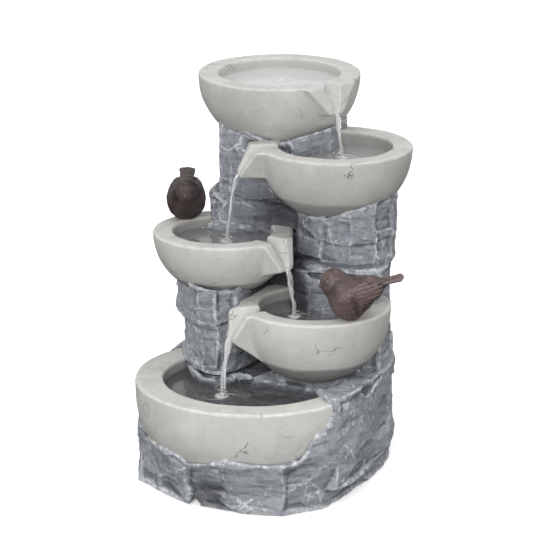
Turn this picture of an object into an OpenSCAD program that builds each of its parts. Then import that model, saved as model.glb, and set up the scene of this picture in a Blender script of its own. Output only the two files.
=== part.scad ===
// Tiered garden fountain: five cast bowls carried by stacked rock castings, two birds,
// and a circulating pump that stands in a wet chamber behind a rear service door.
// Millimetres, +Z up, -Y is the front, the ground is Z = 0.

/* [Bowls] */
// Height of the top bowl's rim above the ground
top_rim_z = 700; // [695:1:710]
// Height of the upper right bowl's rim
right_rim_z = 595; // [592:1:598]
// Height of the left bowl's rim
left_rim_z = 437; // [434:1:440]
// Height of the lower right bowl's rim
lower_rim_z = 328; // [325:1:331]
// Height of the basin's rim
basin_rim_z = 200; // [198:1:202]
// Outer radius of the top bowl
top_bowl_r = 150; // [146:1:154]
// Outer radius of the upper right bowl
right_bowl_r = 140; // [136:1:142]
// Outer radius of the left bowl
left_bowl_r = 128; // [124:1:130]
// Outer radius of the lower right bowl
lower_bowl_r = 137; // [134:1:139]
// Outer radius of the basin
basin_r = 212; // [206:1:214]
// Width of a bowl's rim
rim_width = 36; // [30:1:40]
// Width of the basin's rim
basin_rim_width = 50; // [44:1:54]
// Width of a pouring spout at the bowl
spout_width = 88; // [80:1:92]
// Width of a pouring spout at its tip
spout_tip_width = 40; // [36:1:44]

/* [Pump] */
// Outer diameter of the riser hose
hose_od = 20; // [18:1:22]
// Bore of the riser hose
hose_id = 14; // [12:1:15]
// Radius of the impeller
impeller_r = 20; // [17:1:21]
// Number of impeller blades
blade_count = 6; // [4:1:8]

/* [Door] */
// Width of the service door
door_w = 140; // [136:1:144]
// Height of the service door
door_h = 112; // [108:1:114]
// Thickness of the service door
door_t = 12; // [8:1:13]

/* [Hidden] */

$fn = 96;
eps = 0.01;
far = 900;

stone_grey = [0.42, 0.45, 0.49];
bowl_grey = [0.78, 0.78, 0.75];
bird_brown = [0.26, 0.20, 0.18];
black_plastic = [0.07, 0.07, 0.08];
steel_grey = [0.72, 0.73, 0.75];
rubber_black = [0.05, 0.05, 0.05];

// Plan positions of the bowls
top_c = [-63, 165];
right_c = [86, 86];
left_c = [-97, -6];
lower_c = [97, -27];
basin_c = [8, -102];

// Heights of the bowls and thickness of their floors
top_h = 130;
right_h = 128;
left_h = 112;
lower_h = 136;
basin_h = 150;
bowl_floor = 26;
basin_floor = 22;
bowl_power = 2.15;
basin_power = 3;
bowl_steps = 10;
depth_ratio = 1.045;
rim_round = 6;

// Headings of the spouts, in degrees from the front towards the right
top_spout_a = 64;
right_spout_a = -56;
left_spout_a = 76;
lower_spout_a = -44;
top_tip = 165;
right_tip = 178;
left_tip = 150;
lower_tip = 164;
spout_drop = 44;
spout_h = 54;
spout_over = 6;
spout_block = 22;
channel_w = 33;
channel_tip_w = 14;
channel_d = 22;

// Levels of the rock castings
base_z0 = 2;
plinth_z = 49;
ledge_z = 100;
base_top = 200;
pier_top = 357;
pier_mid = 313;
right_ledge = 388;
right_cap = 440;
right_top = 506;
column_z0 = 430;
column_mid = 487;
column_top = 603;
wall = 16;

// Wet chamber, door and hose positions
chamber_x = [-140, 10];
chamber_y = [72, 240];
chamber_z0 = 75;
chamber_top = 318;
bore_r = hose_od / 2 + 4;
door_c = [-63, 262];
opening_w = 100;
opening_h = 80;
door_y = 272;
gasket_t = 3;
gasket_w = 8;
screw_dx = 60;
screw_dz = 48;
screw_r = 2;
insert_r = 3.5;
insert_l = 11;
foot_h = 5;
foot_r = 14;

// Return duct and drain
duct_x = -83;
duct_z = 150;
duct_r = 18;
duct_mouth_y = -124;
strainer_r = 22;
strainer_l = 30;
drain_x = -100;
drain_z = 88;
drain_r = 8;
// Flat seat in each bowl floor, wide enough for the outlet flange
seat_r = 26;

// Pump
pump_y = 165;
pump_z = 112;
volute_r = 27;
volute_l = 26;
motor_w = 60;
motor_h = 56;
motor_l = 53;
well_r = 13.2;
magnet_r = 12.5;
shaft_r = 1.5;
shaft_gap = 0.05;
bush_r = 4;
cover_l = 12;
dial_r = 15;
cup_h = 9;

// ---- helpers ----

function ring_r(r, d, z, p) = r * pow(1 - pow(min(z / d, 1), p), 1 / p);

function outer_wall(r, h, p) = [
  for (i = [0 : bowl_steps])
    let (z = rim_round + (h - rim_round) * i / bowl_steps)
      [ring_r(r, h * depth_ratio, z, p), -z]
];

function inner_wall(r, h, p) = [
  for (i = [bowl_steps : -1 : 0])
    let (z = rim_round + (h - rim_round) * i / bowl_steps)
      [i == bowl_steps ? seat_r : ring_r(r, h, z, p), -z]
];

function wobble(p, s, a) = [
  for (i = [0 : len(p) - 1])
    [p[i][0] + a * sin(97 * i + 61 * s), p[i][1] + a * cos(131 * i + 83 * s)]
];

function shrink(p, c, k) = [for (q = p) c + (q - c) * k];

module slab(p, z0, z1) {
  translate([0, 0, z0])
    linear_extrude(height = z1 - z0)
      polygon(p);
}

module block(x, y, z) {
  translate([x[0], y[0], z[0]])
    cube([x[1] - x[0], y[1] - y[0], z[1] - z[0]]);
}

module rod_z(c, r, z0, z1) {
  translate([c[0], c[1], z0])
    cylinder(r = r, h = z1 - z0);
}

module rod_y(x, z, r, y0, y1) {
  translate([x, y0, z])
    rotate([-90, 0, 0])
      cylinder(r = r, h = y1 - y0);
}

// Whole outside of a bowl with no hollow, used to cut its seat in the rock
module bowl_solid(c, z, r, h, p = bowl_power) {
  translate([c[0], c[1], z])
    rotate_extrude()
      polygon(concat([[0, 0], [r - rim_round, 0]], outer_wall(r, h, p), [[0, -h]]));
}

module bowl_shell(c, z, r, t, h, floor_t, p = bowl_power) {
  translate([c[0], c[1], z])
    rotate_extrude()
      polygon(concat(
        [[r - t + rim_round, 0], [r - rim_round, 0]],
        outer_wall(r, h, p),
        [[0, -h], [0, floor_t - h]],
        inner_wall(r - t, h - floor_t, p)));
}

module plan_wedge(back, r, w, wt, tip, z0, z1) {
  translate([0, 0, z0])
    linear_extrude(height = z1 - z0)
      polygon([[back, -w / 2], [r, -w / 2], [tip, -wt / 2],
        [tip, wt / 2], [r, w / 2], [back, w / 2]]);
}

module side_profile(p, w) {
  translate([0, w / 2, 0])
    rotate([90, 0, 0])
      linear_extrude(height = w)
        polygon(p);
}

module aim(c, z, a) {
  translate([c[0], c[1], z])
    rotate([0, 0, a - 90])
      children();
}

// Thick pouring lip: its side walls slope down to a narrow tip
module spout(c, z, r, tip, a) {
  back = r - rim_width + rim_round;
  aim(c, z, a)
    intersection() {
      plan_wedge(back, r, spout_width, spout_tip_width, tip, -spout_h, 0);
      side_profile([[back, 0], [r + spout_over, 0], [tip, -spout_drop + 4],
        [tip, -spout_h], [back, -spout_h]], spout_width + 2);
    }
}

// Far side wall of a spout, kept level with the rim as far as the tip
module spout_cheek(c, z, r, tip, a) {
  aim(c, z, a)
    translate([0, 0, -spout_h])
      linear_extrude(height = spout_h)
        polygon([[r - rim_width + rim_round, -spout_width / 2], [r - 4, -spout_width / 2],
          [tip - 5, -spout_tip_width / 2 - 4], [tip - 5, spout_block - spout_tip_width],
          [r - rim_width + rim_round, -channel_w / 2]]);
}

module spout_channel(c, z, r, tip, a) {
  aim(c, z, a)
    intersection() {
      plan_wedge(r * 0.6, r * 0.9, channel_w, channel_tip_w, tip + 4, -spout_h, 2);
      side_profile([[r * 0.6, 2], [tip + 4, 2], [tip + 4, -spout_drop - 3],
        [r - 4, -channel_d - 4], [r * 0.6, -channel_d]], spout_width);
    }
}

// ---- outlines of the rock castings, in plan ----

plinth_line = [
  [-207, -140], [-178, -197], [-101, -243], [-36, -270], [61, -268], [139, -246],
  [182, -190], [203, -130], [213, -30], [211, 60], [190, 125], [165, 175], [130, 250],
  [60, 288], [-60, 290], [-150, 274], [-200, 200], [-222, 100], [-218, 0]
];

core_line = [
  [-173, 5], [-181, -22], [-140, -78], [-88, -122], [-56, -122], [-28, -95], [20, -92],
  [80, -99], [137, -102], [154, -134], [192, -180], [219, -172], [226, -141], [228, -102],
  [224, -60], [216, 0], [211, 60], [190, 125], [165, 175], [130, 250], [60, 286],
  [-60, 288], [-150, 270], [-198, 200], [-213, 110], [-190, 50]
];

ledge_line = [
  [-210, -143], [-166, -206], [-126, -250], [-66, -290], [8, -306], [80, -294],
  [142, -260], [178, -230], [202, -202], [220, -172], [229, -138], [230, -102],
  [225, -55], [217, 0], [212, 60], [190, 125], [165, 175], [130, 250], [60, 288],
  [-60, 290], [-150, 274], [-200, 200], [-222, 100], [-218, 0]
];

shoulder_line = [
  [150, -120], [168, -214], [195, -212], [217, -178], [226, -141], [228, -102],
  [224, -60], [216, 0], [211, 60], [150, 60]
];

plinth_hollow = [
  [-184, -120], [-95, -218], [55, -244], [126, -226], [180, -120], [188, 50], [150, 150],
  [104, 225], [50, 55], [-150, 55], [-192, 60]
];

side_hollow = [
  [32, 75], [32, 235], [100, 220], [146, 150], [184, 60], [184, -56], [150, -70],
  [118, 60], [40, 66]
];

left_line = [
  [-182, 45], [-192, 0], [-178, -32], [-143, -80], [-90, -118], [-58, -118], [-38, -88],
  [-29, -30], [-28, 45]
];

right_line = [
  [33, 45], [33, -34], [74, -22], [112, -18], [180, -5], [214, 18], [211, 60], [203, 100],
  [178, 140], [152, 195], [110, 262], [33, 278]
];

right_upper_line = [
  [33, 60], [38, 36], [92, 12], [150, 8], [194, 36], [205, 84], [200, 110], [176, 146],
  [150, 198], [106, 260], [33, 276]
];

spine_line = [
  [-182, 52], [-60, 45], [33, 45], [33, 278], [-60, 286], [-140, 270], [-190, 200],
  [-194, 110]
];

column_foot_line = [
  [-170, 95], [-145, 52], [-60, 47], [33, 52], [33, 262], [-20, 286], [-90, 284],
  [-146, 262], [-184, 190]
];

column_line = [
  [-154, 100], [-130, 57], [-60, 44], [14, 46], [34, 72], [60, 116], [59, 190], [30, 256],
  [-60, 284], [-138, 262], [-178, 190]
];

// ---- rock castings ----

module core_prism(z0) {
  slab(core_line, z0, base_top);
}

module chamber_space() {
  block(chamber_x, chamber_y, [chamber_z0, chamber_top]);
}

module base_rock() {
  color(stone_grey)
    difference() {
      union() {
        difference() {
          union() {
            slab(plinth_line, base_z0, plinth_z);
            slab(ledge_line, plinth_z, ledge_z);
            slab(shoulder_line, ledge_z - 1, base_top);
          }
          bowl_solid(basin_c, basin_rim_z, basin_r, basin_h, basin_power);
        }
        core_prism(plinth_z);
      }
      chamber_space();
      bowl_solid(lower_c, lower_rim_z, lower_bowl_r, lower_h);
      // closed hollows of the cast shell, below the basin and beside the chamber
      slab(plinth_hollow, base_z0 + 12, 36);
      slab(side_hollow, 55, base_top - wall);
      // duct from the basin to the pump chamber, drain and foot seats
      rod_y(duct_x, duct_z, duct_r, duct_mouth_y - 20, chamber_y[0] + 1);
      rod_y(drain_x, drain_z, drain_r, chamber_y[1] - 1, far / 2);
      rod_y(drain_x, drain_z, drain_r + 5, 277, far / 2);
      foot_pads(base_z0 - 1);
    }
}

module left_pier_body() {
  slab(left_line, base_top, 268);
  slab(wobble(left_line, 5, 4), 268, pier_mid);
  intersection() {
    slab(wobble(left_line, 9, 5), pier_mid, pier_top);
    slab(shrink(left_line, [-97, -40], 1.12), pier_mid, pier_top);
  }
}

module left_pier() {
  color(stone_grey)
    difference() {
      left_pier_body();
      bowl_solid(left_c, left_rim_z, left_bowl_r, left_h);
      block([-260, 60], [45, 120], [base_top - 1, pier_top + 1]);
      slab(shrink(left_line, [-97, -30], 0.72), base_top - 1, 303);
    }
}

module right_pier() {
  color(stone_grey)
    difference() {
      union() {
        slab(right_line, base_top, pier_mid);
        slab(wobble(right_line, 4, 3), pier_mid, right_ledge);
        slab(wobble(right_upper_line, 7, 2), right_ledge, right_cap);
        slab(right_upper_line, right_cap, right_top);
      }
      bowl_solid(right_c, right_rim_z, right_bowl_r, right_h);
      spout(left_c, left_rim_z, left_bowl_r, left_tip, left_spout_a);
      lower_bowl_gap();
      block([-60, 33], [-60, 300], [base_top - 1, right_top + 1]);
      slab(column_line, column_mid, column_top);
      slab(shrink(right_line, [115, 110], 0.78), base_top - 1, right_ledge - wall);
      slab(shrink(right_upper_line, [115, 120], 0.74), right_ledge - wall - 1, 462);
    }
}

// Right end of the lower bowl's rim, which stays clear of the pier standing in it
module lower_bowl_gap() {
  block([214, 260], [-60, 60], [lower_rim_z - lower_h, lower_rim_z + 2]);
}

module spine_rock() {
  color(stone_grey)
    difference() {
      union() {
        slab(spine_line, base_top, 345);
        intersection() {
          slab(wobble(spine_line, 3, 5), 345, column_z0);
          block([-300, 33], [45, 300], [345, column_z0]);
        }
      }
      chamber_space();
      rod_z(top_c, bore_r, chamber_top - 1, column_z0 + 1);
      slab([[-165, 70], [-90, 62], [-90, 150], [-95, 240], [-140, 240], [-172, 190]],
        chamber_top + wall, column_z0 - wall);
      slab([[-38, 62], [15, 62], [15, 240], [-38, 250]],
        chamber_top + wall, column_z0 - wall);
      // rear door: opening, rebate and insert holes
      block([door_c[0] - opening_w / 2, door_c[0] + opening_w / 2],
        [chamber_y[1] - 1, far / 2],
        [door_c[1] - opening_h / 2, door_c[1] + opening_h / 2]);
      block([door_c[0] - door_w / 2 - 1, door_c[0] + door_w / 2 + 1],
        [door_y - gasket_t, far / 2],
        [door_c[1] - door_h / 2 - 1, door_c[1] + door_h / 2 + 1]);
      for (s = [-1, 1])
        for (t = [-1, 1])
          rod_y(door_c[0] + s * screw_dx, door_c[1] + t * screw_dz, insert_r,
            door_y - gasket_t - insert_l, door_y);
      // cord outlet through the left wall, above the water line
      translate([chamber_x[0] + 1, 190, 232])
        rotate([0, -90, 0])
          cylinder(r = 9, h = 80);
    }
}

module upper_column() {
  color(stone_grey)
    difference() {
      union() {
        slab(column_foot_line, column_z0, column_mid);
        slab(column_line, column_mid, 548);
        slab(wobble(column_line, 6, 3), 548, column_top);
      }
      bowl_solid(top_c, top_rim_z, top_bowl_r, top_h);
      rod_z(top_c, bore_r, column_z0 - 1, top_rim_z);
      rod_z(top_c, 22, 540, top_rim_z);
      for (s = [-1, 1])
        slab(shrink([[top_c[0] + s * 30, 80], [top_c[0] + s * 92, 110],
          [top_c[0] + s * 92, 200], [top_c[0] + s * 30, 255]], top_c, 0.94),
          column_z0 + wall, 538);
    }
}

// ---- bowls ----

module basin() {
  color(bowl_grey)
    difference() {
      bowl_shell(basin_c, basin_rim_z, basin_r, basin_rim_width, basin_h, basin_floor,
        basin_power);
      core_prism(plinth_z);
      block([-260, 260], [45, 140], [plinth_z, basin_rim_z + 5]);
    }
}

module top_bowl() {
  color(bowl_grey)
    difference() {
      union() {
        bowl_shell(top_c, top_rim_z, top_bowl_r, rim_width, top_h, bowl_floor);
        spout(top_c, top_rim_z, top_bowl_r, top_tip, top_spout_a);
      }
      spout_channel(top_c, top_rim_z, top_bowl_r, top_tip, top_spout_a);
      rod_z(top_c, 10, 500, 690);
    }
}

module upper_right_bowl() {
  color(bowl_grey)
    difference() {
      union() {
        bowl_shell(right_c, right_rim_z, right_bowl_r, rim_width, right_h, bowl_floor);
        spout(right_c, right_rim_z, right_bowl_r, right_tip, right_spout_a);
      }
      spout_channel(right_c, right_rim_z, right_bowl_r, right_tip, right_spout_a);
      slab(column_foot_line, column_mid - 20, column_mid);
      slab(column_line, column_mid - 20, 548);
      slab(wobble(column_line, 6, 3), 548, column_top);
      bowl_solid(top_c, top_rim_z, top_bowl_r, top_h);
    }
}

module left_bowl() {
  color(bowl_grey)
    difference() {
      union() {
        bowl_shell(left_c, left_rim_z, left_bowl_r, rim_width, left_h, bowl_floor);
        spout(left_c, left_rim_z, left_bowl_r, left_tip, left_spout_a);
      }
      spout_channel(left_c, left_rim_z, left_bowl_r, left_tip, left_spout_a);
      block([-168, 40], [45, 140], [base_top, left_rim_z + 5]);
      slab(spine_line, base_top, 346);
      slab(wobble(spine_line, 3, 5), 345, column_z0);
      slab(column_foot_line, column_z0, left_rim_z + 5);
      bird_peg_holes();
    }
}

module lower_right_bowl() {
  color(bowl_grey)
    difference() {
      union() {
        bowl_shell(lower_c, lower_rim_z, lower_bowl_r, rim_width, lower_h, bowl_floor);
        spout(lower_c, lower_rim_z, lower_bowl_r, lower_tip, lower_spout_a);
        spout_cheek(lower_c, lower_rim_z, lower_bowl_r, lower_tip, lower_spout_a);
      }
      spout_channel(lower_c, lower_rim_z, lower_bowl_r, lower_tip, lower_spout_a);
      slab(right_line, base_top, pier_mid);
      slab(wobble(right_line, 4, 3), pier_mid, lower_rim_z + 5);
      left_pier_body();
      block([33, 214], [-15, 140], [base_top, lower_rim_z + 5]);
      block([-60, 33], [45, 140], [base_top, lower_rim_z + 5]);
      bird_peg_holes();
    }
}

// ---- birds ----

// Middle of the flat each bird stands on, its heading and its forward tilt
left_seat = [-192, 34];
right_seat = [190, -86];
left_bird_turn = -65;
right_bird_turn = -155;
left_bird_tip = 6;
right_bird_tip = 9;
left_bird_size = [1, 1, 1];
right_bird_size = [1.03, 1.05, 1.1];
seat_sink = 8;
breast = [13, 42];
peg_r = 2;
peg_gap = 0.05;

module bird_shape() {
  hull() {
    translate([breast[0], 0, breast[1]])
      sphere(r = 36, $fn = 32);
    translate([-24, 0, 56])
      sphere(r = 22, $fn = 24);
  }
  hull() {
    translate([36, 0, 70])
      sphere(r = 26, $fn = 32);
    translate([20, 0, 56])
      sphere(r = 26, $fn = 24);
  }
  hull() {
    translate([54, 0, 69])
      sphere(r = 6, $fn = 12);
    translate([64, 0, 66])
      sphere(r = 1.5, $fn = 8);
  }
  hull() {
    translate([-30, -9, 58])
      cube([4, 18, 12]);
    translate([-84, -12, 68])
      cube([3, 24, 5]);
  }
}

module place_bird(c, z, turn, tip, k) {
  translate([c[0], c[1], z - seat_sink])
    rotate([0, 0, turn])
      translate([-breast[0] * k[0] * cos(tip) - breast[1] * k[2] * sin(tip), 0, 0])
        rotate([0, tip, 0])
          scale(k)
            children();
}

module bird(c, z, turn, tip, k) {
  color(bird_brown)
    difference() {
      place_bird(c, z, turn, tip, k)
        bird_shape();
      translate([c[0] - 100, c[1] - 100, z - 60])
        cube([200, 200, 60]);
      bird_peg_holes();
    }
}

module left_bird() {
  bird(left_seat, left_rim_z, left_bird_turn, left_bird_tip, left_bird_size);
}

module right_bird() {
  bird(right_seat, lower_rim_z, right_bird_turn, right_bird_tip,
    right_bird_size);
}

module peg_set(r, below, above) {
  for (s = [-1, 1]) {
    rod_z(left_seat + [s * 4, s * 5], r, left_rim_z - below, left_rim_z + above);
    rod_z(right_seat + [s * 3, s * 5], r, lower_rim_z - below, lower_rim_z + above);
  }
}

module bird_peg_holes() {
  peg_set(peg_r + peg_gap, 12, 14);
}

module bird_pegs() {
  color(steel_grey)
    peg_set(peg_r, 12, 14);
}

// ---- feet, door and small fittings ----

foot_at = [[0, 0], [-150, -120], [120, -190], [180, 40], [-10, 262], [-180, 150]];

module foot_pads(z0) {
  for (p = foot_at)
    rod_z(p, foot_r, z0, foot_h);
}

module base_feet() {
  color(rubber_black)
    foot_pads(0);
}

module door_screw_axes() {
  for (s = [-1, 1])
    for (t = [-1, 1])
      translate([door_c[0] + s * screw_dx, 0, door_c[1] + t * screw_dz])
        children();
}

module access_door() {
  color(stone_grey)
    difference() {
      union() {
        block([door_c[0] - door_w / 2, door_c[0] + door_w / 2],
          [door_y, door_y + door_t],
          [door_c[1] - door_h / 2, door_c[1] + door_h / 2]);
        block([door_c[0] - 30, door_c[0] + 30], [door_y + door_t - 1, door_y + door_t + 7],
          [door_c[1] - 8, door_c[1] + 8]);
      }
      block([door_c[0] - 24, door_c[0] + 24], [door_y + door_t, door_y + door_t + 9],
        [door_c[1] - 9, door_c[1] + 2]);
      door_screw_axes()
        rod_y(0, 0, screw_r + 0.3, door_y - 1, door_y + door_t + 1);
      door_screw_axes()
        rod_y(0, 0, 4.3, door_y + door_t - 4, door_y + door_t + 1);
    }
}

module door_gasket() {
  color(rubber_black)
    difference() {
      block([door_c[0] - opening_w / 2 - gasket_w, door_c[0] + opening_w / 2 + gasket_w],
        [door_y - gasket_t, door_y],
        [door_c[1] - opening_h / 2 - gasket_w, door_c[1] + opening_h / 2 + gasket_w]);
      block([door_c[0] - opening_w / 2, door_c[0] + opening_w / 2],
        [door_y - gasket_t - 1, door_y + 1],
        [door_c[1] - opening_h / 2, door_c[1] + opening_h / 2]);
      door_screw_axes()
        rod_y(0, 0, insert_r + 1, door_y - gasket_t - 1, door_y + 1);
    }
}

module door_screws() {
  color(steel_grey)
    door_screw_axes() {
      rod_y(0, 0, screw_r, door_y - gasket_t - 7, door_y + door_t - 4);
      difference() {
        rod_y(0, 0, 4, door_y + door_t - 4, door_y + door_t - 0.5);
        block([-3, 3], [door_y + door_t - 2, door_y + door_t], [-0.5, 0.5]);
      }
    }
}

module door_inserts() {
  color(steel_grey)
    door_screw_axes()
      difference() {
        rod_y(0, 0, insert_r, door_y - gasket_t - insert_l, door_y - gasket_t);
        rod_y(0, 0, screw_r + 0.3, door_y - gasket_t - insert_l + 1, door_y);
      }
}

module cord_gland() {
  color(rubber_black)
    translate([chamber_x[0], 190, 232])
      rotate([0, -90, 0])
        difference() {
          union() {
            translate([0, 0, -4])
              cylinder(r = 13, h = 4);
            cylinder(r = 9, h = 47);
          }
          translate([0, 0, -5])
            cylinder(r = 3.5, h = 60);
        }
}

module drain_bush() {
  color(black_plastic)
    difference() {
      union() {
        rod_y(drain_x, drain_z, drain_r, chamber_y[1], 277);
        rod_y(drain_x, drain_z, drain_r + 4, chamber_y[1] - 3, chamber_y[1]);
      }
      rod_y(drain_x, drain_z, drain_r - 2.5, chamber_y[1] - 4, far / 2);
    }
}

module drain_plug() {
  color(rubber_black)
    union() {
      rod_y(drain_x, drain_z, drain_r - 2.8, 256, 277.5);
      rod_y(drain_x, drain_z, drain_r + 3, 277.5, 283);
      rod_y(drain_x, drain_z, 3, 283, 290);
      rod_y(drain_x, drain_z, 5, 290, 293);
    }
}

// Round cap over the mouth of the return duct, seen as a black disc in the pool
module return_strainer() {
  color(black_plastic)
    difference() {
      union() {
        rod_y(duct_x, duct_z, strainer_r, duct_mouth_y - strainer_l, duct_mouth_y + 1.9);
        rod_y(duct_x, duct_z, duct_r, duct_mouth_y, duct_mouth_y + 12);
      }
      rod_y(duct_x, duct_z, duct_r - 2, duct_mouth_y - strainer_l + 3,
        duct_mouth_y + 20);
      for (a = [-60, 0, 60])
        translate([duct_x, duct_mouth_y - strainer_l - 1, duct_z])
          rotate([0, a, 0])
            translate([-1.5, 0, -14])
              cube([3, 6, 28]);
      for (k = [0 : 3])
        translate([duct_x - 30, duct_mouth_y - strainer_l + 6 + 5 * k, duct_z - 4])
          cube([60, 2.5, 8]);
    }
}

// ---- pump ----

module motor_block(x, z, y0, y1) {
  translate([top_c[0], y0, pump_z])
    rotate([-90, 0, 0])
      linear_extrude(height = y1 - y0)
        polygon([[-x + 8, -z], [x - 8, -z], [x, -z + 8], [x, z], [-x, z], [-x, -z + 8]]);
}

vol_y0 = pump_y - volute_l / 2;
vol_y1 = pump_y + volute_l / 2;

module pump_body() {
  color(black_plastic)
    difference() {
      union() {
        motor_block(motor_w / 2, motor_h / 2, vol_y1, vol_y1 + motor_l);
        rod_y(top_c[0], pump_z, volute_r, vol_y0, vol_y1 + 1);
        rod_z([top_c[0], pump_y], 10, pump_z + 15, pump_z + 42);
        motor_block(motor_w / 2 - 4, motor_h / 2 - 4, vol_y1 + motor_l - 1,
          vol_y1 + motor_l + 5);
      }
      rod_y(top_c[0], pump_z, impeller_r + 2, vol_y0 - 1, vol_y1 - 4);
      rod_y(top_c[0], pump_z, well_r, vol_y1 - 5, vol_y1 + 46);
      rod_y(top_c[0], pump_z, bush_r, vol_y1 + 45, vol_y1 + 51);
      rod_z([top_c[0], pump_y], 6.5, pump_z + 12, pump_z + 43);
      rod_y(top_c[0] + 15, pump_z + 12, 4, vol_y1 + motor_l - 8, vol_y1 + motor_l + 6);
    }
}

module pump_cover() {
  color(black_plastic)
    difference() {
      union() {
        rod_y(top_c[0], pump_z, volute_r, vol_y0 - cover_l, vol_y0);
        rod_y(top_c[0], pump_z, 3, vol_y0 - cover_l - 8, vol_y0 - cover_l + 1);
      }
      rod_y(top_c[0], pump_z, impeller_r - 2, vol_y0 - 6, vol_y0 + 1);
      rod_y(top_c[0], pump_z, bush_r, vol_y0 - 10, vol_y0 - 5);
      for (a = [0 : 45 : 315])
        translate([top_c[0], vol_y0 - cover_l - 1, pump_z])
          rotate([0, a, 0])
            translate([6, 0, -1.6])
              cube([7, cover_l + 2, 3.2]);
    }
}

module shaft_bushes() {
  color([0.85, 0.83, 0.78])
    difference() {
      union() {
        rod_y(top_c[0], pump_z, bush_r, vol_y1 + 46, vol_y1 + 51);
        rod_y(top_c[0], pump_z, bush_r, vol_y0 - 10, vol_y0 - 6);
      }
      rod_y(top_c[0], pump_z, shaft_r + shaft_gap, vol_y1 + 44, vol_y1 + 50);
      rod_y(top_c[0], pump_z, shaft_r + shaft_gap, vol_y0 - 9, vol_y0);
    }
}

module rotor_shaft() {
  color(steel_grey)
    rod_y(top_c[0], pump_z, shaft_r, vol_y0 - 8.5, vol_y1 + 49.5);
}

module impeller() {
  color([0.85, 0.86, 0.84])
    difference() {
      union() {
        rod_y(top_c[0], pump_z, 6, vol_y0 + 3, vol_y1 - 2);
        rod_y(top_c[0], pump_z, impeller_r, vol_y1 - 8, vol_y1 - 6);
        for (i = [0 : blade_count - 1])
          translate([top_c[0], vol_y0 + 3, pump_z])
            rotate([0, i * 360 / blade_count, 0])
              translate([5, 0, -0.8])
                cube([impeller_r - 6, volute_l - 10, 1.6]);
      }
      rod_y(top_c[0], pump_z, shaft_r, vol_y0, vol_y1);
    }
}

module rotor_magnet() {
  color([0.20, 0.20, 0.21])
    difference() {
      rod_y(top_c[0], pump_z, magnet_r, vol_y1 - 2, vol_y1 + 42);
      rod_y(top_c[0], pump_z, shaft_r, vol_y1 - 3, vol_y1 + 43);
    }
}

module flow_dial() {
  color([0.16, 0.17, 0.19])
    difference() {
      union() {
        rod_y(top_c[0], pump_z, dial_r, vol_y0 - cover_l - 4, vol_y0 - cover_l - 0.3);
        block([top_c[0] - 2, top_c[0] + 2], [vol_y0 - cover_l - 9, vol_y0 - cover_l - 4],
          [pump_z + 4, pump_z + 13]);
      }
      rod_y(top_c[0], pump_z, 3.05, vol_y0 - cover_l - 10, vol_y0);
      for (a = [0 : 90 : 270])
        translate([top_c[0], vol_y0 - cover_l - 5, pump_z])
          rotate([0, a + 45, 0])
            translate([6, 0, -1.6])
              cube([6, 6, 3.2]);
    }
}

module suction_cups() {
  color(rubber_black)
    for (x = [-20, 20])
      for (y = [10, 48])
        translate([top_c[0] + x, vol_y1 + y, chamber_z0])
          cylinder(r1 = 9, r2 = 4, h = cup_h);
}

module pump_cord_gland() {
  color(rubber_black)
    difference() {
      union() {
        rod_y(top_c[0] + 15, pump_z + 12, 4, vol_y1 + motor_l - 2, vol_y1 + motor_l + 5);
      }
      rod_y(top_c[0] + 15, pump_z + 12, 2.5, vol_y1 + motor_l + 1, vol_y1 + motor_l + 6);
    }
}

adaptor_z0 = pump_z + 42;

module outlet_adaptor() {
  color(black_plastic)
    difference() {
      union() {
        rod_z(top_c, 12, adaptor_z0, adaptor_z0 + 8);
        rod_z(top_c, hose_id / 2, adaptor_z0 + 8, adaptor_z0 + 32);
      }
      rod_z(top_c, 4.5, adaptor_z0 - 1, adaptor_z0 + 33);
    }
}

fitting_z = top_rim_z - top_h + bowl_floor;

module riser_hose() {
  color([0.10, 0.10, 0.11])
    difference() {
      rod_z(top_c, hose_od / 2, adaptor_z0 + 8, fitting_z - 58);
      rod_z(top_c, hose_id / 2, adaptor_z0 + 7, fitting_z - 57);
    }
}

module clamp_band(z) {
  difference() {
    union() {
      rod_z(top_c, hose_od / 2 + 1.2, z, z + 8);
      block([top_c[0] + hose_od / 2, top_c[0] + hose_od / 2 + 3], [pump_y - 4, pump_y + 4],
        [z, z + 8]);
    }
    rod_z(top_c, hose_od / 2, z - 1, z + 9);
  }
}

module hose_clamps() {
  color(steel_grey) {
    clamp_band(adaptor_z0 + 16);
    clamp_band(fitting_z - 72);
  }
}

module outlet_fitting() {
  color(black_plastic)
    difference() {
      union() {
        rod_z(top_c, 20, fitting_z + 2, fitting_z + 6);
        rod_z(top_c, 9.9, fitting_z - 58, fitting_z + 2);
        rod_z(top_c, hose_id / 2, fitting_z - 82, fitting_z - 58);
        rod_z(top_c, 9, fitting_z + 6, fitting_z + 22);
      }
      rod_z(top_c, 4.5, fitting_z - 83, fitting_z + 23);
    }
}

module outlet_nut() {
  color(black_plastic)
    difference() {
      translate([top_c[0], top_c[1], fitting_z - bowl_floor - 8])
        cylinder(r = 18, h = 8, $fn = 6);
      rod_z(top_c, 10, 500, 690);
    }
}

module outlet_washer() {
  color(rubber_black)
    difference() {
      rod_z(top_c, 19, fitting_z, fitting_z + 2);
      rod_z(top_c, 10, 500, 690);
    }
}

base_rock();
left_pier();
right_pier();
spine_rock();
upper_column();
basin();
top_bowl();
upper_right_bowl();
left_bowl();
lower_right_bowl();
left_bird();
right_bird();
bird_pegs();
base_feet();
access_door();
door_gasket();
door_screws();
door_inserts();
pump_body();
pump_cover();
impeller();
rotor_magnet();
rotor_shaft();
shaft_bushes();
flow_dial();
suction_cups();
pump_cord_gland();
outlet_adaptor();
riser_hose();
hose_clamps();
outlet_fitting();
outlet_nut();
outlet_washer();
return_strainer();
cord_gland();
drain_bush();
drain_plug();
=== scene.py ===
import math

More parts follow.
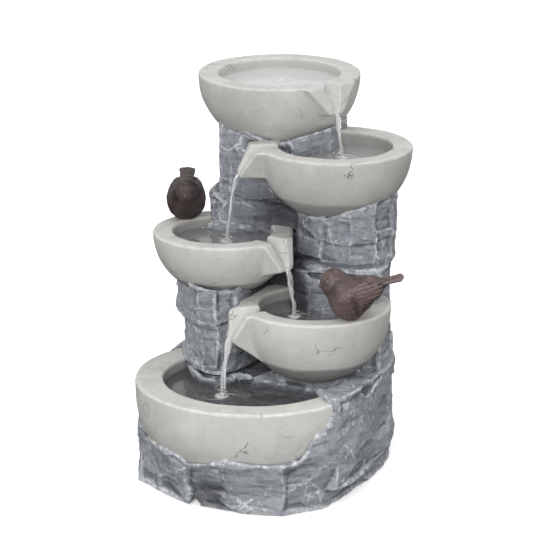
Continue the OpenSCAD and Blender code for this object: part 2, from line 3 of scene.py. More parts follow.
import bmesh
import bpy
import numpy as np
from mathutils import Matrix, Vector


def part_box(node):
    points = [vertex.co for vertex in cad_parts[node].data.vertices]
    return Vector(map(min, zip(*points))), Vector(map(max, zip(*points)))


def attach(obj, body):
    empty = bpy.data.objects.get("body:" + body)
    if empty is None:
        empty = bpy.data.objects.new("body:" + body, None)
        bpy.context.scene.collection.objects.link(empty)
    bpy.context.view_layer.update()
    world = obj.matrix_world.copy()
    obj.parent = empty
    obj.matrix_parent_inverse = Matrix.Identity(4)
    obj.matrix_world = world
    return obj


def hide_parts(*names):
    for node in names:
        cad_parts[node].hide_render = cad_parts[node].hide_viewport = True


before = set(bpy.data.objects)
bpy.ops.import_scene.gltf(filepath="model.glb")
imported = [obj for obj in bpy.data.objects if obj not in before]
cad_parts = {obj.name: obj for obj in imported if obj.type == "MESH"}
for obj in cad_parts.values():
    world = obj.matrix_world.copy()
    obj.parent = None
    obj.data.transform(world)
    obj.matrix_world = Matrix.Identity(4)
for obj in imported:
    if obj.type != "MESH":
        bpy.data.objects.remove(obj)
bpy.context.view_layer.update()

MM = 0.001
BODY = "fountain"


# ---- layout
# Everything below is in millimetres in the CAD frame; bowl centres are read from the boxes of the
# CAD nodes, and the rock outlines repeat the outlines of part.scad.

def node_box(name):
    lo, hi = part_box(name)
    return np.array(lo) * 1000.0, np.array(hi) * 1000.0


SOLID_DEPTH = 1.045  # depth of a bowl's outer curve as a share of its height; the foot is cut flat


class Bowl:
    """A turned bowl seated where its CAD node is, with the heading and reach of its spout."""

    def __init__(self, node, r, rim, h, floor, p, x_side, y_side, spout=None):
        lo, hi = node_box(node)
        self.node, self.r, self.rim, self.h, self.floor, self.p = node, r, rim, h, floor, p
        self.c = np.array([lo[0] + r if x_side < 0 else hi[0] - r,
                           lo[1] + r if y_side < 0 else hi[1] - r])
        self.z = hi[2]
        self.spout = spout

    def radius(self, dz, inner=False):
        r = self.r - self.rim if inner else self.r
        d = self.h - self.floor if inner else self.h * SOLID_DEPTH
        t = np.clip(dz / d, 0.0, 1.0)
        return r * (1.0 - t ** self.p) ** (1.0 / self.p)

    def heading(self):
        a = math.radians(self.spout[0])
        return np.array([math.sin(a), -math.cos(a)])

    def tip(self):
        return self.c + self.heading() * self.spout[1]


TOP = Bowl("top_bowl", 150, 36, 130, 26, 2.15, -1, +1, (64, 165))
RIGHT = Bowl("upper_right_bowl", 140, 36, 128, 26, 2.15, +1, +1, (-56, 178))
LEFT = Bowl("left_bowl", 128, 36, 112, 26, 2.15, -1, -1, (76, 150))
LOWER = Bowl("lower_right_bowl", 137, 36, 136, 26, 2.15, +1, -1, (-44, 164))
BASIN = Bowl("basin", 212, 50, 150, 22, 3.0, -1, -1)
DROP = {"top": 21.0, "right": 24.0, "left": 20.0, "lower": 22.0, "basin": 24.0}
SPOUT_H = 52.0


# ---- signed distance fields

def poly_distance(x, y, pts):
    """Signed distance to a polygon, negative inside, for arrays x and y."""
    pts = np.asarray(pts, float)
    d2 = np.full(x.shape, 1e12)
    inside = np.zeros(x.shape, bool)
    for a, b in zip(pts, np.roll(pts, -1, axis=0)):
        ex, ey = b - a
        wx, wy = x - a[0], y - a[1]
        t = np.clip((wx * ex + wy * ey) / max(ex * ex + ey * ey, 1e-9), 0, 1)
        d2 = np.minimum(d2, (wx - ex * t) ** 2 + (wy - ey * t) ** 2)
        cross = (a[1] <= y) != (b[1] <= y)
        if ey != 0:
            inside ^= cross & (x < a[0] + (y - a[1]) * ex / ey)
    d = np.sqrt(d2)
    return np.where(inside, -d, d)


class Field:
    """A regular grid of cell size h around a box, holding signed distances d in millimetres."""

    def __init__(self, lo, hi, h):
        self.h = float(h)
        self.lo = np.array(lo, float) - 3 * h
        n = np.ceil((np.array(hi, float) + 3 * h - self.lo) / h).astype(int) + 1
        self.lay([self.lo[i] + h * np.arange(n[i]) for i in range(3)])

    def lay(self, axes):
        self.ax = axes
        self.n = np.array([len(a) for a in axes])
        self.x, self.y, self.z = self.p = np.meshgrid(
            *(a.astype(np.float32) for a in axes), indexing="ij", sparse=True)

    def window(self, lo, hi):
        i0 = np.maximum(np.floor((np.array(lo) - self.lo) / self.h).astype(int), 0)
        i1 = np.minimum(np.ceil((np.array(hi) - self.lo) / self.h).astype(int) + 1, self.n)
        if (i1 <= i0).any():
            return None
        s = tuple(slice(a, b) for a, b in zip(i0, i1))
        return s, self.x[s[0]], self.y[:, s[1]], self.z[:, :, s[2]]

    def plan(self, fn):
        x, y = np.meshgrid(self.ax[0], self.ax[1], indexing="ij")
        return fn(x, y).astype(np.float32)

    def noise(self, scale, seed):
        """Smooth noise, roughly -1 to 1, with a feature size per axis."""
        scale = np.broadcast_to(np.asarray(scale, float), 3)
        rng = np.random.default_rng(seed)
        mats, shape = [], []
        for k in range(3):
            pos = (self.ax[k] - self.ax[k][0]) / scale[k]
            i = pos.astype(int)
            t = pos - i
            t = t * t * (3 - 2 * t)
            rows = np.arange(len(pos))
            w = np.zeros((len(pos), int(pos[-1]) + 3), np.float32)
            w[rows, i] = 1 - t
            w[rows, i + 1] += t
            mats.append(w)
            shape.append(w.shape[1])
        lat = rng.uniform(-1, 1, shape).astype(np.float32)
        out = np.tensordot(mats[0], lat, (1, 0))
        out = np.tensordot(mats[1], out, (1, 1)).transpose(1, 0, 2)
        out = np.tensordot(out, mats[2], (2, 1))
        return out.astype(np.float32)


def smooth_min(a, b, k):
    t = np.clip(0.5 + 0.5 * (b - a) / k, 0, 1)
    return b * (1 - t) + a * t - k * t * (1 - t)


def smooth_max(a, b, k):
    return -smooth_min(-a, -b, k)


def box_distance(p, lo, hi, r=0.0):
    """Distance to a box with its edges rounded by r."""
    q = [np.abs(v - (a + b) / 2) - ((b - a) / 2 - r) for v, a, b in zip(p, lo, hi)]
    out = np.sqrt(sum(np.maximum(v, 0) ** 2 for v in q))
    return out + np.minimum(np.maximum(np.maximum(q[0], q[1]), q[2]), 0) - r


CORNERS = [(a, b, c) for a in (0, 1) for b in (0, 1) for c in (0, 1)]


def blur(a, passes=2):
    for _ in range(passes):
        for k in range(3):
            a = (np.roll(a, 1, k) + a + np.roll(a, -1, k)) / 3
    return a


def sample(a, f, pts):
    """Values of grid array a of field f at points, interpolated between grid nodes."""
    g = np.clip((pts - f.lo) / f.h, 0, np.array(f.n) - 1.001)
    i = g.astype(int)
    t = g - i
    out = 0
    for corner in CORNERS:
        w = np.prod(np.where(corner, t, 1 - t), axis=1)
        out = out + w * a[tuple((i + corner).T)]
    return out


def surface_net(f):
    """Vertices and quads of the zero surface of a field, vertices pulled onto the surface."""
    d = f.d
    s = d < 0
    cnt = np.zeros(np.array(d.shape) - 1, np.int8)
    for a, b, c in CORNERS:
        cnt += s[a:s.shape[0] - 1 + a, b:s.shape[1] - 1 + b, c:s.shape[2] - 1 + c]
    cells = np.argwhere((cnt > 0) & (cnt < 8))
    index = np.full(cnt.shape, -1, np.int32)
    index[tuple(cells.T)] = np.arange(len(cells))
    vals = {c: d[tuple((cells + c).T)] for c in CORNERS}
    unit = np.eye(3, dtype=int)
    acc = np.zeros((len(cells), 3))
    num = np.zeros(len(cells))
    for a in CORNERS:
        for k in range(3):
            if a[k]:
                continue
            va, vb = vals[a], vals[tuple((unit[k] + a).tolist())]
            m = (va < 0) != (vb < 0)
            t = np.where(m, va / np.where(m, va - vb, 1), 0)
            acc[m] += (np.array(a, float) + t[:, None] * unit[k])[m]
            num[m] += 1
    verts = f.lo + (cells + acc / num[:, None]) * f.h
    quads = []
    for k in range(3):
        u, v = (k + 1) % 3, (k + 2) % 3
        e0, e1 = (np.take(s, range(i, s.shape[k] - 1 + i), k) for i in (0, 1))
        edges = np.argwhere(e0 != e1)
        ok = (edges[:, u] > 0) & (edges[:, v] > 0)
        ok &= (edges[:, u] < cnt.shape[u]) & (edges[:, v] < cnt.shape[v])
        edges = edges[ok]
        flip = ~e0[tuple(edges.T)]
        around = (edges - unit[u] - unit[v], edges - unit[v], edges, edges - unit[u])
        q = np.stack([index[tuple(c.T)] for c in around], 1)
        q[flip] = q[flip][:, ::-1]
        quads.append(q)
    grad = gradient_at(f, verts)
    for _ in range(2):
        step = sample(d, f, verts)[:, None] * grad / np.maximum((grad ** 2).sum(1), 0.05)[:, None]
        verts = verts - np.clip(step, -0.45 * f.h, 0.45 * f.h)
    return verts, np.concatenate(quads)


def gradient_at(f, pts):
    """Slope of a field at the given points."""
    half = 0.5 * f.h * np.eye(3)
    return np.stack([(sample(f.d, f, pts + o) - sample(f.d, f, pts - o)) / f.h for o in half], 1)


def new_mesh(name, verts_mm, faces, mat, attrs=None):
    """Smooth-shaded mesh object from vertices in millimetres, with named vertex attributes."""
    me = bpy.data.meshes.new(name)
    verts = np.asarray(verts_mm, float) * MM
    faces = np.asarray(faces)
    me.vertices.add(len(verts))
    me.vertices.foreach_set("co", verts.ravel())
    k = faces.shape[1]
    me.loops.add(faces.size)
    me.loops.foreach_set("vertex_index", faces.ravel().astype(np.int32))
    me.polygons.add(len(faces))
    me.polygons.foreach_set("loop_start", np.arange(0, faces.size, k, dtype=np.int32))
    me.polygons.foreach_set("loop_total", np.full(len(faces), k, np.int32))
    me.update(calc_edges=True)
    me.validate()
    me.polygons.foreach_set("use_smooth", np.ones(len(me.polygons), bool))
    for key, val in (attrs or {}).items():
        at = me.attributes.new(key, "FLOAT", "POINT")
        at.data.foreach_set("value", np.asarray(val, np.float32))
    ob = bpy.data.objects.new(name, me)
    bpy.context.scene.collection.objects.link(ob)
    me.materials.append(mat)
    return ob


def keep_largest(verts, quads, least):
    """Drop loose crumbs: keeps connected shells with at least `least` vertices."""
    n = len(verts)
    label = np.arange(n)
    e = np.concatenate([quads[:, [0, 1]], quads[:, [1, 2]], quads[:, [2, 3]], quads[:, [3, 0]]])
    while True:
        m = np.minimum(label[e[:, 0]], label[e[:, 1]])
        new = label.copy()
        np.minimum.at(new, e[:, 0], m)
        np.minimum.at(new, e[:, 1], m)
        new = new[new]
        if (new == label).all():
            break
        label = new
    ids, count = np.unique(label, return_counts=True)
    good = np.isin(label, ids[count >= least])
    remap = np.cumsum(good) - 1
    q = quads[good[quads[:, 0]]]
    return verts[good], remap[q]


def shell(f, d, passes, least):
    """Mesh of distances d on a field, and how far each vertex stands out from the blurred shape."""
    f.d = d.astype(np.float32)
    soft = blur(f.d, passes)
    verts, quads = keep_largest(*surface_net(f), least)
    return verts, quads, (sample(soft, f, verts) - sample(f.d, f, verts)) / f.h


def stand_in(ob, node, body=BODY):
    """Puts a mesh in the place of its CAD node."""
    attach(ob, body)
    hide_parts(node)


def carve(node, f, d, mat, slot, body=BODY, least=60, wet=None):
    """Mesh distances d, with attributes for ridges and hollows, in place of a CAD node."""
    verts, quads, out = shell(f, d, 2, least)
    attrs = {"ridge": np.clip(out * 2.6, 0, 1), "hollow": np.clip(-out * 2.6, 0, 1)}
    if wet is not None:
        attrs["wet"] = wet(verts)
    stand_in(new_mesh(node + "_skin", verts, quads, mat, attrs), node, body)


# ---- node materials

class Mat:
    """A Principled material with short calls for the nodes that drive it."""

    def __init__(self, name):
        self.m = bpy.data.materials.new(name)
        self.m.use_nodes = True
        self.nt = self.m.node_tree
        self.nt.nodes.clear()
        self.out = self.nt.nodes.new("ShaderNodeOutputMaterial")
        self.p = self.nt.nodes.new("ShaderNodeBsdfPrincipled")
        self.link(self.p.outputs[0], self.out.inputs["Surface"])
        self.co = self.nt.nodes.new("ShaderNodeTexCoord").outputs["Object"]

    def link(self, a, b):
        self.nt.links.new(a, b)

    def node(self, kind, inputs, **props):
        """A node with its properties set and its inputs linked or filled in."""
        n = self.nt.nodes.new(kind)
        for k, v in props.items():
            setattr(n, k, v)
        for k, v in inputs.items():
            self.put(n.inputs[k], v)
        return n

    def put(self, socket, v):
        if isinstance(v, bpy.types.NodeSocket):
            self.link(v, socket)
        elif socket.type == "RGBA":
            socket.default_value = (*v, 1.0)
        else:
            socket.default_value = v

    def mapped(self, scale, src=None, offset=(0, 0, 0)):
        scale = scale if isinstance(scale, tuple) else (scale,) * 3
        return self.node("ShaderNodeMapping", {"Vector": src or self.co, "Scale": scale,
                                               "Location": offset}).outputs[0]

    def noise_node(self, where, detail, **inputs):
        return self.node("ShaderNodeTexNoise",
                         {"Vector": where, "Scale": 1.0, "Detail": detail, **inputs})

    def noise(self, scale, detail=4, rough=0.55, distort=0.0, offset=(0, 0, 0)):
        where = self.mapped(scale, offset=offset)
        return self.noise_node(where, detail, Roughness=rough, Distortion=distort).outputs["Fac"]

    def warped(self, scale, amount):
        """Object coordinates pushed about by noise, for lines that wander."""
        push = self.noise_node(self.mapped(scale), 5.0).outputs["Color"]
        return self.node("ShaderNodeVectorMath", {0: push, 1: (amount,) * 3, 2: self.co},
                         operation="MULTIPLY_ADD").outputs[0]

    def voronoi(self, scale, feature="F1", src=None):
        return self.node("ShaderNodeTexVoronoi", {"Vector": self.mapped(scale, src), "Scale": 1.0},
                         feature=feature).outputs["Distance"]

    def veins(self, net, width, where, gaps):
        """Wandering lines between cells, kept only in some places and broken by small gaps."""
        scale, warp_scale, warp = net
        edge = self.voronoi(scale, "DISTANCE_TO_EDGE", self.warped(warp_scale, warp))
        size, detail, rough, offset, lo, hi = where
        place = self.ramp(self.noise(size, detail, rough, offset=offset), lo, hi)
        line = self.times(self.ramp(edge, *width, 0.0), place)
        if gaps is None:
            return line
        size, offset, lo, hi = gaps
        return self.times(line, self.ramp(self.noise(size, 4, 0.7, offset=offset), lo, hi))

    def math(self, op, a, b):
        return self.node("ShaderNodeMath", {0: a, 1: b}, operation=op).outputs[0]

    def times(self, a, b):
        return self.math("MULTIPLY", a, b)

    def most(self, a, b):
        return self.math("MAXIMUM", a, b)

    def ramp(self, v, lo, hi, a=0.0, b=1.0):
        """Smooth step of a value from a at lo to b at hi."""
        ends = {"Value": v, "From Min": lo, "From Max": hi, "To Min": a, "To Max": b}
        return self.node("ShaderNodeMapRange", ends, interpolation_type="SMOOTHSTEP").outputs[0]

    def mix(self, fac, a, b):
        return self.node("ShaderNodeMix", {"Factor": fac, 6: a, 7: b}, data_type="RGBA").outputs[2]

    def tint(self, col, layers):
        """Lays tones over a colour; each layer is a mask, its ramp's two ends and the tone."""
        for mask, lo, hi, a, b, tone in layers:
            col = self.mix(self.ramp(mask, lo, hi, a, b), col, tone)
        return col

    def attr(self, name):
        return self.node("ShaderNodeAttribute", {}, attribute_name=name).outputs["Fac"]

    def bump(self, height, strength, distance, normal=None):
        inputs = {"Strength": strength, "Distance": distance, "Height": height}
        if normal is not None:
            inputs["Normal"] = normal
        return self.node("ShaderNodeBump", inputs).outputs[0]

    def set(self, **kw):
        names = {"color": "Base Color", "rough": "Roughness", "metal": "Metallic",
                 "spec": "Specular IOR Level", "ior": "IOR", "trans": "Transmission Weight",
                 "normal": "Normal"}
        for k, v in kw.items():
            self.put(self.p.inputs[names[k]], v)
        return self.m


def slate_material(name):
    """Blue-grey slate: streaked strata and white veins, a painted highlight on the ridges, painted shade
    in the hollows, and darker patches that are partly stone darkened by water and partly painted shade.
    """
    m = Mat(name)
    big = m.noise(11.0, 3, 0.5)
    mid = m.noise(55.0, 6, 0.62, distort=0.4)
    strata = m.noise((50.0, 50.0, 330.0), 6, 0.66, distort=0.5, offset=(3.1, 1.7, 0.4))
    grain = m.noise(520.0, 4, 0.7)
    height = m.node("ShaderNodeSeparateXYZ", {0: m.co})
    col = m.mix(m.ramp(mid, 0.34, 0.66), (0.228, 0.246, 0.276), (0.378, 0.398, 0.432))
    col = m.tint(col, ((big, 0.40, 0.72, 0.0, 0.50, (0.36, 0.38, 0.41)),
                       (strata, 0.55, 0.72, 0.0, 0.55, (0.43, 0.45, 0.475)),
                       (strata, 0.28, 0.45, 0.50, 0.0, (0.095, 0.105, 0.125)),
                       (grain, 0.58, 0.76, 0.0, 0.45, (0.54, 0.56, 0.58)),
                       (grain, 0.24, 0.42, 0.40, 0.0, (0.09, 0.10, 0.12)),
                       # painted light: the rock is painted lighter towards its foot, below 0.21 m, in
                       # place of more light on the base
                       (height.outputs[2], 0.10, 0.21, 0.16, 0.0, (0.62, 0.65, 0.69))))
    fleck = m.noise((150.0, 150.0, 420.0), 5, 0.72, distort=0.6, offset=(6, 1, 9))
    patchy = m.ramp(m.noise(20.0, 3, 0.6, offset=(3, 3, 7)), 0.38, 0.62)
    flecks = m.times(m.ramp(fleck, 0.555, 0.67), patchy)
    # painted highlight: pale paint on the rock's ridges, broken up by noise
    broken = m.ramp(m.noise(75.0, 5, 0.72), 0.43, 0.60)
    ridge_highlight = m.times(m.ramp(m.attr("ridge"), 0.26, 0.85), broken)
    coarse = m.veins((12.0, 26.0, 0.045), (0.003, 0.030, 1.0), (17.0, 2, 0.5, (4, 8, 1), 0.44, 0.55),
                     (140.0, (1, 2, 3), 0.36, 0.56))
    close = m.veins((29.0, 48.0, 0.030), (0.006, 0.050, 0.60), (26.0, 3, 0.6, (2, 5, 8), 0.47, 0.60),
                    (170.0, (3, 2, 6), 0.38, 0.58))
    line = m.most(coarse, close)
    # white holds the painted highlight on the ridges together with the real white veins
    white = m.most(m.times(ridge_highlight, 0.78), m.times(line, 0.92))
    col = m.mix(m.most(white, m.times(flecks, 0.42)), col, (0.80, 0.82, 0.84))
    # painted shade: the rock's hollows are painted darker
    col = m.tint(col, ((m.attr("hollow"), 0.12, 0.90, 0.0, 0.60, (0.045, 0.050, 0.060)),))
    # darker where painted shade lies in the cave and behind the falls, on a patch low on the left pier,
    # and where the stone is darkened by water below the pool; the same mask makes it glossier
    wet = m.attr("wet")
    col = m.mix(m.times(wet, 0.94), col, (0.026, 0.028, 0.033))
    n1 = m.bump(m.math("ADD", m.times(strata, 0.9), mid), 0.8, 0.0042)
    n2 = m.bump(grain, 0.30, 0.0008, n1)
    rough = m.math("SUBTRACT", m.ramp(mid, 0.3, 0.7, 0.64, 0.86), m.times(wet, 0.3))
    return m.set(color=col, rough=rough, spec=0.35, normal=m.bump(line, 0.5, 0.0012, n2))


def concrete_material(name):
    """Warm grey cast stone: turning marks, speckle, pits and hairline cracks, a painted highlight on the
    edges, painted shade in the hollows, and darker patches that are partly stone darkened by water and
    partly painted shade.
    """
    m = Mat(name)
    cloud = m.noise(13.0, 4, 0.55)
    stain = m.noise((40.0, 40.0, 30.0), 5, 0.65, distort=0.5, offset=(5, 2, 1))
    turned = m.noise((30.0, 30.0, 420.0), 4, 0.6, offset=(2, 6, 3))
    speck = m.noise(620.0, 3, 0.7)
    col = m.mix(m.ramp(cloud, 0.3, 0.7), (0.545, 0.534, 0.508), (0.628, 0.618, 0.592))
    col = m.tint(col, ((stain, 0.48, 0.72, 0.0, 0.42, (0.45, 0.438, 0.410)),
                       (turned, 0.50, 0.70, 0.0, 0.36, (0.68, 0.67, 0.645)),
                       (speck, 0.56, 0.75, 0.0, 0.46, (0.30, 0.295, 0.28)),
                       (speck, 0.22, 0.43, 0.54, 0.0, (0.80, 0.795, 0.775))))
    pitted = m.ramp(m.noise(42.0, 2, 0.5, offset=(9, 4, 2)), 0.56, 0.60)
    pit = m.times(m.ramp(m.voronoi(125.0), 0.05, 0.15, 1.0, 0.0), pitted)
    crack = m.veins((11.0, 40.0, 0.030), (0.001, 0.0080, 1.0),
                    (15.0, 2, 0.5, (7, 3, 5), 0.57, 0.61), None)
    dent = m.most(pit, crack)
    col = m.mix(m.times(dent, 0.72), col, (0.15, 0.148, 0.14))
    # painted highlight: pale paint on the rims and edges, broken up by noise
    edge_highlight = m.times(m.ramp(m.attr("ridge"), 0.25, 1.0, 0.0, 0.40),
                   m.ramp(m.noise(90.0, 4, 0.6), 0.32, 0.60))
    col = m.mix(edge_highlight, col, (0.84, 0.835, 0.815))
    # painted shade: the hollows are painted darker
    col = m.tint(col, ((m.attr("hollow"), 0.15, 0.9, 0.0, 0.35, (0.25, 0.245, 0.23)),))
    # darker inside the bowls, partly stone darkened by water and partly painted shade, and painted shade
    # under the top bowl's belly
    col = m.mix(m.attr("wet"), col, (0.055, 0.058, 0.060))
    n1 = m.bump(m.noise(90.0, 5, 0.6), 0.22, 0.0014)
    n2 = m.bump(m.math("ADD", speck, turned), 0.22, 0.0006, n1)
    n3 = m.bump(m.math("SUBTRACT", 1.0, dent), 0.8, 0.0012, n2)
    return m.set(color=col, rough=m.ramp(stain, 0.3, 0.7, 0.62, 0.80), spec=0.30, normal=n3)


def bird_material(name, k=1.0):
    """Dark reddish-brown resin with feather streaks and a painted highlight on its ridges; k makes all of
    its tones darker.
    """
    m = Mat(name)
    cloud = m.noise(30.0, 4, 0.6)
    feather = m.noise((160.0, 60.0, 160.0), 5, 0.65, distort=0.8)
    dull, warm, edge = (tuple(k * v for v in tone) for tone in (
        (0.056, 0.039, 0.038), (0.128, 0.086, 0.083), (0.25, 0.19, 0.18)))
    col = m.mix(m.ramp(cloud, 0.3, 0.7), dull, warm)
    # painted highlight: the last layer paints the bird's ridges in the pale edge tone
    col = m.tint(col, ((feather, 0.5, 0.75, 0.0, 0.5, (0.030, 0.023, 0.022)),
                       (m.attr("ridge"), 0.1, 0.6, 0.0, 0.5, edge)))
    n1 = m.bump(feather, 0.4, 0.0014)
    n2 = m.bump(m.noise(500.0, 3, 0.6), 0.2, 0.0005, n1)
    return m.set(color=col, rough=m.ramp(cloud, 0.3, 0.7, 0.42, 0.60), spec=0.45, normal=n2)


def water_material(name):
    m = Mat(name)
    wave = m.noise((55.0, 55.0, 20.0), 3, 0.5, distort=0.8)
    # foam where the streams land, together with painted light that makes the higher pools whiter and less
    # clear
    foam = m.most(m.ramp(m.attr("foam"), 0.12, 0.75, 0.0, 0.72), m.attr("painted_white"))
    n1 = m.bump(wave, 0.08, 0.0006)
    col = m.mix(m.ramp(foam, 0.0, 0.4), (0.80, 0.83, 0.84), (0.96, 0.97, 0.975))
    return m.set(color=col, rough=0.03, trans=m.math("SUBTRACT", 1.0, foam), ior=1.33, normal=n1)


def stream_material(name):
    m = Mat(name)
    n1 = m.bump(m.noise((210.0, 210.0, 70.0), 4, 0.6), 0.55, 0.0020)
    return m.set(color=(0.97, 0.98, 0.99), rough=0.06, trans=0.80, ior=1.20, normal=n1)


def plastic_material(name, color, rough=0.45):
    m = Mat(name)
    tone = m.noise(90.0, 3, 0.5)
    lighter = tuple(min(1.0, v * 1.35 + 0.006) for v in color)
    col = m.mix(m.ramp(tone, 0.3, 0.7), color, lighter)
    return m.set(color=col, rough=m.ramp(tone, 0.3, 0.7, rough - 0.05, rough + 0.08), spec=0.45,
                 normal=m.bump(m.noise(900.0, 2, 0.5), 0.18, 0.0003))


def metal_material(name, color, rough=0.3):
    m = Mat(name)
    brushed = m.noise((1200.0, 60.0, 1200.0), 3, 0.6)
    col = m.mix(m.ramp(brushed, 0.3, 0.7), color, tuple(v * 0.8 for v in color))
    return m.set(color=col, rough=m.ramp(brushed, 0.3, 0.7, rough - 0.08, rough + 0.12), metal=1.0,
                 normal=m.bump(brushed, 0.15, 0.0002))


SLATE = slate_material("slate")
CONCRETE = concrete_material("concrete")
# painted shade: the left bird's resin has all tones halved, standing in for the shade it sits in
BIRDS = {"left_bird": bird_material("bird_resin_dark", 0.50), "right_bird": bird_material("bird_resin")}
WATER = water_material("pool_water")
STREAM = stream_material("falling_water")

# The hidden parts keep their CAD shape: material, then the nodes that it covers
FINISH = (
    (plastic_material("black_plastic", (0.022, 0.022, 0.024)),
     "pump_body pump_cover outlet_adaptor outlet_fitting outlet_nut return_strainer drain_bush"),
    (plastic_material("black_rubber", (0.018, 0.018, 0.018), 0.7),
     "door_gasket base_feet suction_cups pump_cord_gland riser_hose outlet_washer cord_gland drain_plug"),
    (plastic_material("dial_plastic", (0.07, 0.08, 0.10)), "flow_dial"),
    (plastic_material("pale_plastic", (0.60, 0.61, 0.58), 0.4), "impeller"),
    (plastic_material("ferrite", (0.05, 0.05, 0.055), 0.6), "rotor_magnet"),
    (plastic_material("bush_ceramic", (0.74, 0.72, 0.66), 0.3), "shaft_bushes"),
    (metal_material("steel", (0.62, 0.63, 0.65)), "door_screws bird_pegs rotor_shaft hose_clamps"),
    (metal_material("brass", (0.72, 0.52, 0.22)), "door_inserts"))
for material, nodes in FINISH:
    for node in nodes.split():
        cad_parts[node].data.materials.clear()
        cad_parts[node].data.materials.append(material)

# ---- bowls

def rounding(centre, e, start):
    """Quarter circle of radius e over the rim, from the angle start down by a right angle."""
    turns = [start - math.pi / 2 * i / 8 for i in range(9)]
    return [(centre + e * math.cos(a), e * math.sin(a) - e) for a in turns]


def wall_line(b, e, depth, inner=False, steps=40):
    """Points down a bowl's wall from below its rim rounding e to the given depth."""
    heights = [e + (depth - e) * i / steps for i in range(steps + 1)]
    return [(float(b.radius(z, inner)), -z) for z in heights]


def profile(b):
    """Half of a bowl's turned section: up the inside, over the rim and down the outside."""
    out_e, in_e = 4.5, 4.0
    hollow = wall_line(b, in_e, b.h - b.floor, True)[-2::-1]
    inner = rounding(b.r - b.rim + in_e, in_e, math.pi)
    outer = rounding(float(b.radius(out_e)) - out_e, out_e, math.pi / 2)
    outside = wall_line(b, out_e, b.h)[1:]
    return [(0.0, b.floor - b.h)] + hollow[:-1] + inner + outer + outside + [(0.0, -b.h)]


def bowl_section(f, b, pts):
    """Distance to the solid that half a section sweeps around a bowl's axis."""
    rr = np.arange(0.0, b.r + 60.0, 1.0)
    g, k = np.meshgrid(rr, f.ax[2] - b.z, indexing="ij")
    pts = np.array(pts)
    mirrored = np.concatenate([pts, (pts * [-1, 1])[::-1]])
    table = poly_distance(g, k, mirrored).astype(np.float32)
    x, y = np.meshgrid(f.ax[0] - b.c[0], f.ax[1] - b.c[1], indexing="ij")
    r = np.clip(np.hypot(x, y), 0, rr[-1] - 1.01)
    i = r.astype(int)
    t = (r - i)[..., None].astype(np.float32)
    return table[i] * (1 - t) + table[i + 1] * t


def bowl_outer(f, b):
    """Distance to a bowl as if it were solid, for the seats cut in the rock."""
    e = 4.5
    outside = wall_line(b, e, b.h, steps=30)
    return bowl_section(f, b, [(0.0, 0.0), (b.r - e, 0.0)] + outside + [(0.0, -b.h)])


def half_space(p, n, q):
    """Distance to a line through q with normal n, in two coordinates."""
    n = np.array(n, float)
    n /= np.linalg.norm(n)
    return p[0] * n[0] + p[1] * n[1] - (n[0] * q[0] + n[1] * q[1])


# Per spout: spread of its root in degrees, how far its walls stay level beyond the rim, and how
# far down its underside runs at the bowl's wall
SPOUTS = {"top_bowl": (24.5, 1.0, 58.0), "upper_right_bowl": (20.0, 12.0, 54.0),
          "left_bowl": (20.5, 3.0, 66.0), "lower_right_bowl": (16.5, 6.0, 92.0)}
CHEEK_END = 159  # the lower right spout's wide cheek stops here, measured from the bowl's axis


def spout_frame(f, b):
    """Grid coordinates along a spout, across it and above the rim."""
    ux, uy = b.heading()
    u = (f.x - b.c[0]) * ux + (f.y - b.c[1]) * uy
    v = -(f.x - b.c[0]) * uy + (f.y - b.c[1]) * ux
    return u, v, f.z - b.z


def spout_body(f, b):
    """The thick lip: side walls converge and slope down to a narrow tip."""
    u, v, w = spout_frame(f, b)
    av = np.abs(v)
    tip = b.spout[1]
    spread, over, keel_drop = SPOUTS[b.node]
    ru, rv = b.r * math.cos(math.radians(spread)), b.r * math.sin(math.radians(spread))
    side = np.cross([tip - ru, 20 - rv, -44], [0, 24 - rv, -SPOUT_H])
    side = side / np.linalg.norm(side)
    plan = side[0] * (u - ru) + side[1] * (av - rv) + side[2] * w
    plan = smooth_max(plan, av - rv - 1, 3)
    slope = half_space((u, w), (44, tip - b.r - over), (tip, -44))
    body = smooth_max(smooth_max(w, slope, 4), plan, 4)
    if b is LOWER:
        wall = half_space((u, -v), (rv - 22, CHEEK_END - ru), (ru, rv))
        cheek = smooth_max(smooth_max(w, u - CHEEK_END, 3), smooth_max(wall, v + 6, 3), 4)
        body = smooth_min(body, cheek, 3)
    body = smooth_max(body, u - tip, 2)
    body = smooth_max(body, (b.r - b.rim + 3) - u, 2)
    keel = half_space((u, -w), (keel_drop - SPOUT_H, tip - b.r * 0.82), (tip, SPOUT_H))
    return smooth_max(body, keel, 4)


def spout_channel(f, b):
    """The groove that the water runs in, deeper and narrower towards the tip."""
    u, v, w = spout_frame(f, b)
    tip = b.spout[1]
    run = (u - (b.r - 10)) / (tip - b.r + 10)
    floor = -22 - 27 * np.clip(run, 0, 1.3)
    half = 6.0 - 3.0 * np.clip(run, 0, 1) + 0.46 * np.clip(w - floor, 0, 60)
    chan = smooth_max((floor - w) * 0.75, (np.abs(v) - half) * 0.9, 3)
    return smooth_max(chan, (b.r - b.rim - 14) - u, 2)


def bowl_piece(b, seed):
    """Grid and distances of one of the four upper bowls with its spout."""
    reach = b.spout[1] + 4
    f = Field((*(b.c - reach), b.z - b.h - 2), (*(b.c + reach), b.z + 4), 1.9)
    d = bowl_section(f, b, profile(b))
    d = smooth_min(d, spout_body(f, b), 4)
    d = smooth_max(d, -spout_channel(f, b), 2.5)
    return f, d + 0.6 * f.noise(46, seed) + 0.35 * f.noise(17, seed + 1) + 0.12 * f.noise(7, seed + 2)


# ---- rock

def scaled(line, c, k):
    """An outline made k times as large about the point c."""
    c = np.array(c, float)
    return [tuple(c + (np.array(p) - c) * k) for p in line]


